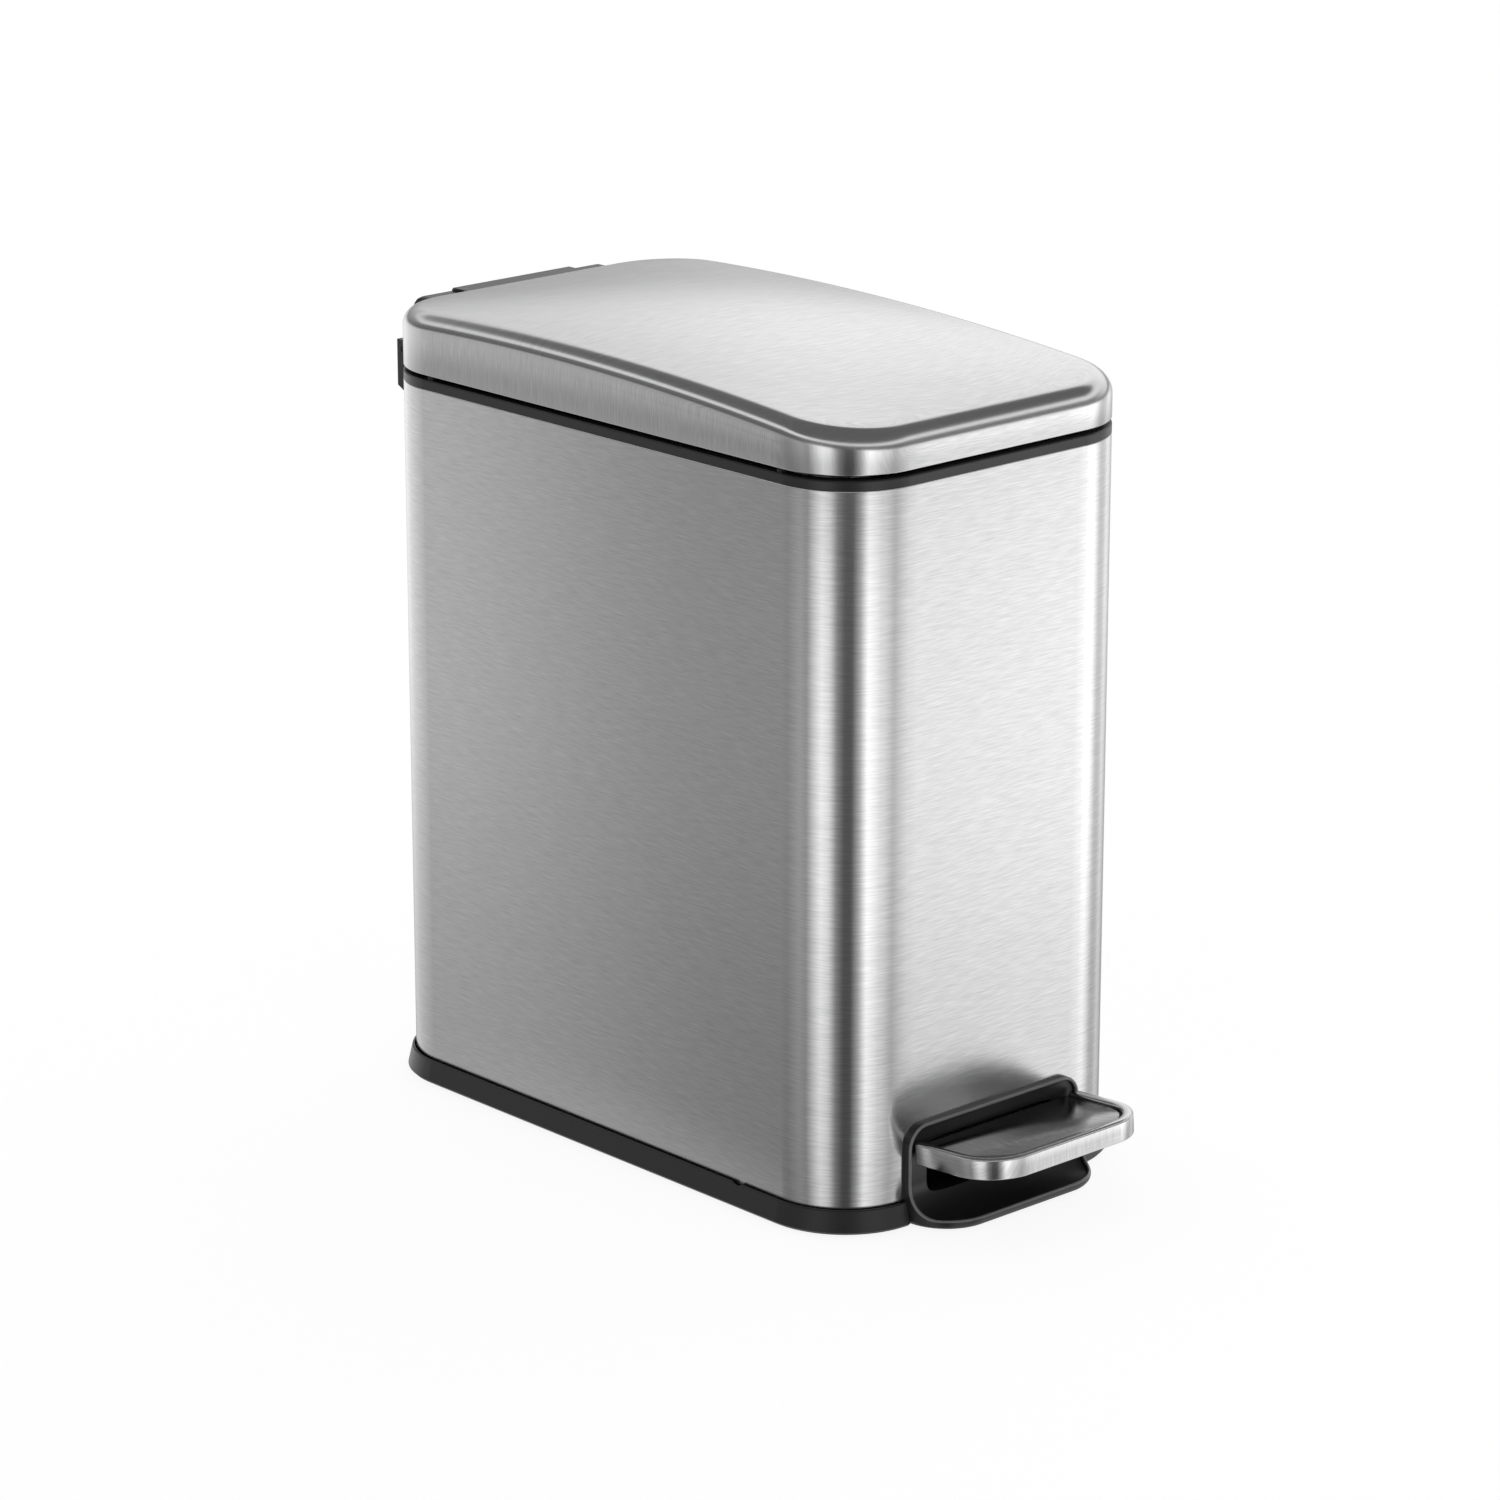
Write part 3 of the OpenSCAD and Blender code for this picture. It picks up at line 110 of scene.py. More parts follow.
class TrashCanPedalSizes(bpy.types.PropertyGroup):
    """Sizes of the pedal"""
    corner: length("Corner radius", "Plan radius of the pedal's front corners", 17 * MM)
    height: length("Height", "Height of the frame", 7.4 * MM)
    tilt: FloatProperty(name="Tilt", description="Upward tilt of the pedal towards its front",
                        default=math.radians(4.0), unit="ROTATION")
    edge: length("Edge radius", "Radius of the frame's upper edge", 1.1 * MM)
    ridge: length("Ridge", "Width of the ridge round the tread", 4 * MM)
    wall: length("Wall", "Thickness of the frame's wall", 1.2 * MM)
    groove: length("Groove", "Gap between the ridge and the tread", 0.7 * MM)
    tread_drop: length("Tread drop", "Depth of the tread below the ridge", 1.2 * MM)
    tread: length("Tread", "Thickness of the tread plate", 1.2 * MM)


class TrashCanSurroundSizes(bpy.types.PropertyGroup):
    """Sizes of the scoop round the pedal"""
    half_width: length("Half width", "Half the scoop's width", 40.5 * MM)
    top: length("Top", "Height of the scoop above the ground", 35.5 * MM)
    out: length("Out", "How far its upper part stands out of the body", 2.4 * MM)
    lip: length("Lip", "How far its lip stands out of the body", 19.2 * MM)
    foot: length("Foot", "Height of the lip above the ground", 4.5 * MM)
    bend: length("Bend", "Radius of the bend from the side into the lip", 10 * MM)
    upper_corner: length("Upper corner", "Radius of the upper corners", 8 * MM)
    lip_corner: length("Lip corner", "Plan radius of the lip's corners", 18.5 * MM)
    edge: length("Edge", "Radius of the rounded edge", 0.62 * MM)
    nose: length("Nose", "Radius of the rounding under the lip", 2.3 * MM)
    back: length("Back", "Distance of the dish's upright part from the body", 0.7 * MM)
    slot: length("Slot", "Half width of the slot for the pedal", 31 * MM)
    slot_low: length("Slot bottom", "Height of the slot's lower side", 9.5 * MM)
    slot_high: length("Slot top", "Height of the slot's upper side", 28.8 * MM)
    collar: length("Collar", "Length of the collar that passes through the body", 2.4 * MM)
    clearance: length("Clearance", "Gap between the collar and the opening", 0.2 * MM)
    floor: length("Floor", "Height of the base's floor, which the tabs lie on", 4 * MM)
    tab_width: length("Tab width", "Width of the tabs screwed to the base", 10 * MM)
    tab_length: length("Tab length", "Length of the tabs behind the collar", 12 * MM)
    tab: length("Tab thickness", "Thickness of the tabs", 2.5 * MM)


class TrashCanFinishes(bpy.types.PropertyGroup):
    """Colours and gloss of the materials"""
    steel: colour("Brushed steel", "Colour of the brushed steel", (0.62, 0.62, 0.625))
    steel_rough: share("Steel roughness", "Roughness of the brushed steel", 0.17)
    steel_grain: share("Steel grain", "Stretch of the highlights across the brushing", 0.8)
    # The tread's colour is darkened: a painted reflection of the black surround on the steel plate
    tread: colour("Tread", "Colour of the pedal's tread plate, darkened as a painted reflection of the black surround", (0.25, 0.25, 0.255))
    sheet: colour("Plain sheet steel", "Colour of the lever", (0.5, 0.5, 0.51))
    plated: colour("Zinc plating", "Colour of the screws, rod and pins", (0.6, 0.6, 0.62))
    plastic: colour("Black plastic", "Colour of the base, rim, surround and hinge", (0.026, 0.026, 0.027))
    # The surround's edge is coloured light grey: a painted highlight along the black scoop's edge
    edge: colour("Painted edge highlight", "Light grey of the surround's edge, a painted highlight", (0.3, 0.3, 0.302))
    bucket: colour("Bucket plastic", "Colour of the bucket and the deck", (0.05, 0.05, 0.052))
    damper: colour("Damper", "Colour of the damper's cylinder", (0.09, 0.09, 0.095))
    rubber: colour("Rubber", "Colour of the feet and buffers", (0.02, 0.02, 0.02))


class TrashCanStageSettings(bpy.types.PropertyGroup):
    """Camera, floor and light"""
    camera: FloatVectorProperty(name="Camera place", description="Where the camera stands", size=3,
                                default=(-1.21988, -1.31515, 0.6825), unit="LENGTH")
    turn: FloatProperty(name="Camera turn", description="Turn of the camera about the vertical",
                        default=math.radians(-42.525), unit="ROTATION")
    tilt: FloatProperty(name="Camera tilt", description="Tilt of the camera up from straight down",
                        default=math.radians(73.026), unit="ROTATION")
    lens: FloatProperty(name="Lens", description="Focal length in millimetres", default=129.81)
    floor: colour("Floor", "Colour of the floor", (0.85, 0.85, 0.85))
    white: FloatProperty(name="White", description="Brightness of the floor's plain part", default=1.47)
    plain: share("Plain", "Share of the floor's look that takes no shadow", 0.6)
    walls: FloatProperty(name="Walls", description="Strength of the studio's light", default=1.0)


SETTINGS = {
    "trash_can_body": TrashCanBodySizes,
    "trash_can_lid": TrashCanLidSizes,
    "trash_can_pedal": TrashCanPedalSizes,
    "trash_can_surround": TrashCanSurroundSizes,
    "trash_can_finish": TrashCanFinishes,
    "trash_can_stage": TrashCanStageSettings,
}


# ---- Meshes -------------------------------------------------------------------------------------

def add_piece(name, vertices, faces, sharp=35.0):
    """Makes a smooth-shaded object whose edges over the sharp angle stay crisp."""
    mesh = bpy.data.meshes.new(name)
    mesh.from_pydata([tuple(v) for v in vertices], [], faces)
    if mesh.validate():
        raise RuntimeError(f"{name} has faces that don't hold together")
    mesh.shade_smooth()
    mesh.set_sharp_from_angle(angle=math.radians(sharp))
    piece = bpy.data.objects.new(name, mesh)
    bpy.context.scene.collection.objects.link(piece)
    return piece


def arc_points(centre, radius, start, end, steps):
    """Points on an arc in the plane, with its angles in degrees."""
    angles = [math.radians(start + (end - start) * i / steps) for i in range(steps + 1)]
    return [(centre[0] + radius * math.cos(a), centre[1] + radius * math.sin(a)) for a in angles]


def between(a, b, steps):
    """Points between two plan points, ends left out."""
    return [(a[0] + (b[0] - a[0]) * i / steps, a[1] + (b[1] - a[1]) * i / steps) for i in range(1, steps)]


def body_plan(inset, corner_steps, side_steps, front_x):
    """The body's outline seen from above, anticlockwise, moved inwards by a distance."""
    half_w = (SHELL_HIGH.x - SHELL_LOW.x) / 2
    half_d = (SHELL_HIGH.y - SHELL_LOW.y) / 2
    r = bpy.context.scene.trash_can_body.corner
    points = []
    for turn, (sx, sy) in enumerate(((1, -1), (1, 1), (-1, 1), (-1, -1))):
        centre = (sx * (half_w - r), BODY_Y + sy * (half_d - r))
        bend = arc_points(centre, r - inset, -90 + 90 * turn, 90 * turn, corner_steps)
        if points:
            points += between(points[-1], bend[0], side_steps if turn in (1, 3) else len(front_x) + 1)
        points += bend
    front_y = points[0][1]
    return points + [(x, front_y) for x in front_x]


def loft(rings, closed=False):
    """Faces between rings of equally many vertices; closed joins the last ring to the first."""
    n, rows = len(rings[0]), len(rings)
    vertices = [v for ring in rings for v in ring]
    faces = []
    for k in range(rows if closed else rows - 1):
        up = (k + 1) % rows
        for i in range(n):
            j = (i + 1) % n
            faces.append((k * n + i, k * n + j, up * n + j, up * n + i))
    return vertices, faces


# ---- Shader maths -------------------------------------------------------------------------------

class Value:
    """A socket of a node tree that takes part in Python arithmetic."""

    def __init__(self, tree, socket):
        self.tree = tree
        self.socket = socket

    def math(self, operation, *others):
        node = self.tree.nodes.new("ShaderNodeMath")
        node.operation = operation
        for slot, value in zip(node.inputs, (self, *others)):
            self.tree.feed(slot, value)
        return Value(self.tree, node.outputs[0])

    def flipped(self, operation, other):
        node = self.tree.nodes.new("ShaderNodeMath")
        node.operation = operation
        self.tree.feed(node.inputs[0], other)
        self.tree.feed(node.inputs[1], self)
        return Value(self.tree, node.outputs[0])

    def __add__(self, other):
        return self.math("ADD", other)

    def __sub__(self, other):
        return self.math("SUBTRACT", other)

    def __mul__(self, other):
        return self.math("MULTIPLY", other)

    def __truediv__(self, other):
        return self.math("DIVIDE", other)

    def __rsub__(self, other):
        return self.flipped("SUBTRACT", other)

    __radd__ = __add__
    __rmul__ = __mul__


class Shader:
    """A node tree that is built by calls."""

    def __init__(self, tree):
        self.tree = tree
        self.nodes = tree.nodes
        tree.nodes.clear()

    def feed(self, slot, value):
        if isinstance(value, Value):
            self.tree.links.new(value.socket, slot)
        elif isinstance(value, bpy.types.NodeSocket):
            self.tree.links.new(value, slot)
        else:
            slot.default_value = value

    def add(self, kind, settings=None, sockets=None, output=0):
        """Adds a node: its settings come first, then the values or links of its sockets."""
        node = self.nodes.new(kind)
        for name, value in (settings or {}).items():
            if name == "stops":
                ramp = node.color_ramp
                while len(ramp.elements) < len(value):
                    ramp.elements.new(1.0)
                for element, (place, tone) in zip(ramp.elements, value):
                    element.position = place
                    element.color = (tone, tone, tone, 1.0)
            else:
                setattr(node, name, value)
        for name, value in (sockets or {}).items():
            self.feed(node.inputs[name], value)
        return Value(self, node.outputs[output]) if len(node.outputs) else node

    def axes(self, vector):
        """The three parts of a vector."""
        node = self.nodes.new("ShaderNodeSeparateXYZ")
        self.feed(node.inputs[0], vector)
        return [Value(self, slot) for slot in node.outputs]

    def place(self):
        """The surface's place, in the piece's own frame."""
        node = self.nodes.new("ShaderNodeTexCoord")
        return Value(self, node.outputs["Object"]), Value(self, node.outputs["Normal"])

    def noise(self, x, y, z, detail=2.0):
        """Noise stretched by the factors that its coordinates come with, from 0 to 1."""
        vector = self.add("ShaderNodeCombineXYZ", sockets={"X": x, "Y": y, "Z": z})
        return self.add("ShaderNodeTexNoise", sockets={"Vector": vector, "Scale": 1.0, "Detail": detail})


def new_material(name):
    material = bpy.data.materials.new(name)
    material.use_nodes = True
    return material, Shader(material.node_tree)


def finish_material(shader, sockets):
    surface = shader.add("ShaderNodeBsdfPrincipled", sockets=sockets)
    shader.add("ShaderNodeOutputMaterial", sockets={"Surface": surface})


def grain_place(shader, across):
    """Coordinates along and across the brushing; across is the axis that the brush lines cross.
    Where a face turns over that axis, the lines follow it down the side."""
    place, normal = shader.place()
    x, y, z = shader.axes(place)
    if across == "z":
        return z, x, y
    nx, ny, _ = shader.axes(normal)
    side = (nx if across == "x" else ny).math("ABSOLUTE")
    crossed = (x if across == "x" else y) + z * side
    return crossed, (y if across == "x" else x), z * (1.0 - side)


def brushed_steel(name, across, tint=None, rough=None, grain=None):
    """Brushed stainless steel whose lines run across the given axis."""
    finish = bpy.context.scene.trash_can_finish
    tint = finish.steel if tint is None else tint
    rough = finish.steel_rough if rough is None else rough
    grain = finish.steel_grain if grain is None else grain
    material, shader = new_material(name)
    crossed, along, other = grain_place(shader, across)
    fine = shader.noise(crossed * 2000.0, along * 130.0, other * 130.0)
    broad = shader.noise(crossed * 800.0, along * 60.0, other * 60.0)
    cloud = shader.noise(crossed * 30.0, along * 12.0, other * 12.0)
    lines = (fine - 0.5) * 0.26 + (broad - 0.5) * 0.05 + (cloud - 0.5) * 0.015
    tone = shader.add("ShaderNodeCombineColor", sockets={
        "Red": lines + tint[0], "Green": lines + tint[1], "Blue": lines + tint[2]})
    rough = rough + (broad - 0.5) * 0.02
    bump = shader.add("ShaderNodeBump", sockets={"Strength": 0.12, "Distance": 0.00003, "Height": fine})
    finish_material(shader, {
        "Base Color": tone, "Metallic": 1.0, "Roughness": rough, "Normal": bump,
        "Anisotropic": grain, "Anisotropic Rotation": 0.25})
    return material


def plain_metal(name, tint, roughness):
    material, shader = new_material(name)
    place, _ = shader.place()
    x, y, z = shader.axes(place)
    mottle = shader.noise(x * 220.0, y * 220.0, z * 220.0)
    finish_material(shader, {"Base Color": (*tint, 1.0), "Metallic": 1.0,
                             "Roughness": roughness + (mottle - 0.5) * 0.1})
    return material


def moulded_plastic(name, tint, roughness, texture=0.08):
    """Moulded plastic with a fine satin texture."""
    material, shader = new_material(name)
    place, _ = shader.place()
    x, y, z = shader.axes(place)
    speck = shader.noise(x * 3200.0, y * 3200.0, z * 3200.0)
    cloud = shader.noise(x * 60.0, y * 60.0, z * 60.0)
    bump = shader.add("ShaderNodeBump", sockets={"Strength": texture, "Distance": 0.00004, "Height": speck})
    finish_material(shader, {"Base Color": (*tint, 1.0), "Roughness": roughness + (cloud - 0.5) * 0.06,
                             "Normal": bump})
    return material


def dress(piece, material):
    piece.data.materials.clear()
    piece.data.materials.append(material)


def make_materials():
    """One material for each slot of the record, and one for each direction of brushing."""
    finish = bpy.context.scene.trash_can_finish
    return {
        "brushed_steel": brushed_steel("Brushed steel round the body", "z"),
        "lid_steel": brushed_steel("Brushed steel across the lid", "y"),
        "pedal_steel": brushed_steel("Brushed steel along the pedal", "x"),
        # The tread is brushed steel darkened to paint in its reflection of the black surround
        "tread_steel": brushed_steel("Tread steel darkened by painted reflection", "x", finish.tread, rough=0.15, grain=0.0),
        "sheet_steel": plain_metal("Plain sheet steel", finish.sheet, 0.4),
        "plated_steel": plain_metal("Zinc plated steel", finish.plated, 0.28),
        "black_plastic": moulded_plastic("Black plastic", finish.plastic, 0.34),
        # Light grey plastic for the edge bead: a painted highlight along the surround's edge
        "surround_edge": moulded_plastic("Surround edge with painted highlight", finish.edge, 0.2, texture=0.0),
        "bucket_plastic": moulded_plastic("Bucket plastic", finish.bucket, 0.45),
        "damper_body": moulded_plastic("Damper body", finish.damper, 0.35, texture=0.0),
        "rubber": moulded_plastic("Rubber", finish.rubber, 0.65, texture=0.2),
    }


def material(name):
    found = bpy.data.materials.get(name)
    if found is None:
        raise RuntimeError(f"the material {name} has to be made first")
    return found


# ---- Pieces -------------------------------------------------------------------------------------

FRONT_STEPS = 10


def lengthwise_fall(y):
    """How far the lid's arch has fallen at a place along the can."""
    lid = bpy.context.scene.trash_can_lid
    run = y - BODY_Y - lid.peak
    return lid.arch - math.sqrt(lid.arch ** 2 - run ** 2)


class TRASHCAN_OT_finishes(bpy.types.Operator):
    """Makes the materials and gives every CAD piece its own"""
    bl_idname = "trash_can.finishes"
    bl_label = "Finishes"

    def execute(self, context):
        slots = make_materials()
        for part in FRAME["record"]["subparts"]:
            node = FRAME["nodes"][part["node"]]
            dress(node, slots[part["material_slot"]])
        return {"FINISHED"}


class TRASHCAN_OT_body(bpy.types.Operator):
    """Builds the steel body with its rolled edges and the opening behind the pedal"""
    bl_idname = "trash_can.body"
    bl_label = "Body"

    def execute(self, context):
        sizes = context.scene.trash_can_body
        low, high, lip, sheet = SHELL_LOW.z, SHELL_HIGH.z, sizes.lip, sizes.sheet
        flat = SHELL_HIGH.x - sizes.corner - 4 * MM
        front_x = [-flat, -sizes.opening]
        front_x += [-sizes.opening * (1 - 2 * i / FRONT_STEPS) for i in range(1, FRONT_STEPS)]
        front_x += [sizes.opening, flat]
        outer = [(lip * (1 - math.sin(a)), low + lip * (1 - math.cos(a))) for a in QUARTER]
        outer.append((0.0, sizes.opening_top))
        outer += [(lip * (1 - math.cos(a)), high - lip * (1 - math.sin(a))) for a in QUARTER]
        inner = [(sheet, high - lip / 2), (sheet, sizes.opening_top), (sheet, low + lip / 2)]
        profile = outer + inner
        rings = [[(x, y, z) for x, y in body_plan(inset, 20, 2, front_x)] for inset, z in profile]
        vertices, faces = loft(rings, closed=True)
        n, rows = len(rings[0]), len(rings)
        # The opening: the sheet is left out below its top, and the cut edges are closed
        first = n - len(front_x) + 1
        gap = range(first, first + FRONT_STEPS)
        cut = set()
        top_out, top_in = 4, rows - 2
        for k in [*range(top_out), rows - 2, rows - 1]:
            cut |= {k * n + i for i in gap}
        faces = [face for face in faces if face[0] not in cut]
        faces += [(top_out * n + i, top_in * n + i, top_in * n + i + 1, top_out * n + i + 1) for i in gap]
        for column, step in ((first, -1), (first + FRONT_STEPS, 1)):
            jamb = [k * n + column for k in [*range(top_out + 1), top_in, rows - 1]]
            faces.append(tuple(jamb[::step]))
        piece = add_piece("body_skin", vertices, faces)
        dress(piece, material("Brushed steel round the body"))
        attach(piece, "body")
        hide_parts("outer_shell")
        return {"FINISHED"}


class TRASHCAN_OT_lid(bpy.types.Operator):
    """Builds the arched lid with its rounded edge and folded hem"""
    bl_idname = "trash_can.lid"
    bl_label = "Lid"

    def execute(self, context):
        lid = context.scene.trash_can_lid
        body = context.scene.trash_can_body
        half_w = LID_HIGH.x - lid.fillet
        half_d = (LID_HIGH.y - LID_LOW.y) / 2 - lid.fillet
        edge = LID_LOW.z
        top = edge + lid.skirt

        def ring(inset, z, arched=True, shrink=1.0):
            points = []
            for x, y in body_plan(inset, 16, 36, [x * 8 * MM for x in range(-4, 5)]):
                x, y = x * shrink, BODY_Y + (y - BODY_Y) * shrink
                points.append((x, y, z - (lengthwise_fall(y) if arched else 0.0)))
            return points

        def crowned(inset, z, shrink):
            points = []
            for x, y, level in ring(inset, z, shrink=shrink):
                rise = max(0.0, 1 - (x / half_w) ** 2) * max(0.0, 1 - ((y - BODY_Y) / half_d) ** 2)
                points.append((x, y, level + lid.crown * rise))
            return points

        def dome(sheet, steps):
            """The side, the rounded edge and the crown, from the hem to the middle."""
            r = lid.fillet - sheet
            rounds = [math.radians(90 * i / steps) for i in range(steps + 1)]
            rings = [ring(sheet + r * (1 - math.cos(a)), top + r * math.sin(a)) for a in rounds]
            return rings + [crowned(lid.fillet, top + r, 1 - (i / steps) ** 1.3) for i in range(1, steps)]

        lip = body.lip
        start = [ring(lip * (1 - math.sin(a)), edge + lip * (1 - math.cos(a)), arched=False) for a in QUARTER]
        outer = start + dome(0.0, 14)
        inner = dome(body.sheet, 6)
        folded = edge + body.sheet
        hem = [ring(inset, z, arched=False)
               for inset, z in ((body.sheet, folded), (lid.hem, folded), (lid.hem, edge))]
        n = len(outer[0])
        out_vertices, out_faces = loft(outer)
        in_vertices, in_faces = loft([outer[0]] + hem[::-1] + inner)
        shift = len(out_vertices) - n
        in_faces = [tuple(i if i < n else i + shift for i in face)[::-1] for face in in_faces]
        vertices = out_vertices + in_vertices[n:]
        faces = out_faces + in_faces
        for last, sheet, turn in ((len(out_vertices) - n, 0.0, 1), (len(vertices) - n, body.sheet, -1)):
            middle = len(vertices)
            height = top + lid.fillet - sheet + lid.crown - lengthwise_fall(BODY_Y)
            vertices = vertices + [(0.0, BODY_Y, height)]
            faces += [(last + i, last + (i + 1) % n, middle)[::turn] for i in range(n)]
        piece = add_piece("lid_skin", vertices, faces)
        piece.data.use_auto_texspace = False
        piece.data.texspace_location = (0.0, FAR, 0.0)
        dress(piece, material("Brushed steel across the lid"))
        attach(piece, "lid")
        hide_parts("lid_shell")
        return {"FINISHED"}


class PedalPlan:
    """The pedal in its own frame, before it is tilted up about its lower rear edge."""

    def __init__(self):
        self.sizes = bpy.context.scene.trash_can_pedal
        tilt, height = self.sizes.tilt, self.sizes.height
        self.sin, self.cos = math.sin(tilt), math.cos(tilt)
        self.half_w = FRAME_HIGH.x
        self.rear = FRAME_HIGH.y - height * self.sin
        self.low = FRAME_LOW.z
        self.length = (self.rear - FRAME_LOW.y) / self.cos

    def tilted(self, x, run, rise):
        """A place from its distance in front of the rear edge and its height over that edge."""
        return (x, self.rear - run * self.cos + rise * self.sin, self.low + run * self.sin + rise * self.cos)

    def ring(self, inset, rise, steps=16):
        """From the rear left end round the front to the rear right end."""
        r, w, front = self.sizes.corner, self.half_w, self.length
        path = [(-w + inset, 0.0)]
        path += arc_points((-w + r, front - r), r - inset, 180, 90, steps)
        path += between((-w + r, front - inset), (w - r, front - inset), 6)
        path += arc_points((w - r, front - r), r - inset, 90, 0, steps)
        path.append((w - inset, 0.0))
        return [self.tilted(x, run, rise) for x, run in path]


class TRASHCAN_OT_pedal(bpy.types.Operator):
    """Builds the pedal's rounded steel frame and its sunk tread"""
    bl_idname = "trash_can.pedal"
    bl_label = "Pedal"

    def execute(self, context):
        plan = PedalPlan()
        sizes = plan.sizes
        high, r, ridge, lip = sizes.height, sizes.edge, sizes.ridge, 0.4 * MM
        tread_top = high - sizes.tread_drop
        tread_low = tread_top - sizes.tread
        profile = [(lip * (1 - math.sin(a)), lip * (1 - math.cos(a))) for a in QUARTER]
        profile += [(r - r * math.cos(math.radians(t)), high - r + r * math.sin(math.radians(t)))
                    for t in range(0, 91, 10)]
        profile += [(ridge - 1.0 * MM, high - 0.15 * MM), (ridge - 0.5 * MM, high - 0.35 * MM),
                    (ridge - 0.15 * MM, high - 0.75 * MM), (ridge, tread_top - 0.3 * MM), (ridge, tread_low),
                    (sizes.wall, tread_low), (sizes.wall, 0.0)]
        rings = [plan.ring(inset, rise) for inset, rise in profile]
        n, rows = len(rings[0]), len(rings)
        vertices = [v for ring in rings for v in ring]
        faces = []
        for k in range(rows):
            up = (k + 1) % rows
            faces += [(k * n + i, k * n + i + 1, up * n + i + 1, up * n + i) for i in range(n - 1)]
        faces.append(tuple(k * n for k in range(rows)))
        faces.append(tuple(k * n + n - 1 for k in range(rows))[::-1])
        frame = add_piece("pedal_frame_skin", vertices, faces)
        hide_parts("pedal_frame")

        inset, bevel = ridge + sizes.groove, 0.25 * MM
        soft = bevel * 0.3
        levels = [(inset, tread_low), (inset, tread_top - bevel), (inset + soft, tread_top - soft),
                  (inset + bevel, tread_top)]
        vertices, faces = loft([plan.ring(gap, rise) for gap, rise in levels])
        faces.append(tuple(range(n))[::-1])
        faces.append(tuple(range(3 * n, 4 * n)))
        plate = add_piece("pedal_tread_skin", vertices, faces)
        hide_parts("pedal_tread")
        # The tread plate gets the darkened steel: a painted reflection of the black surround
        for piece, finish in ((frame, "Brushed steel along the pedal"),
                              (plate, "Tread steel darkened by painted reflection")):
            piece.data.use_auto_texspace = False
            piece.data.texspace_location = (FAR, 0.0, 0.0)
            dress(piece, material(finish))
            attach(piece, "pedal")
        return {"FINISHED"}


# How far down the scoop's outside, and across its dish, each ring lies
OUTSIDE_STEPS = (1.0, 0.96, 0.83, 0.6, 0.3, 0.0)
DISH_STEPS = (0.15, 0.35, 0.6, 0.85, 1.0)
# How far the ring behind the scoop is drawn in from its outline
DRAWN_IN = 0.97


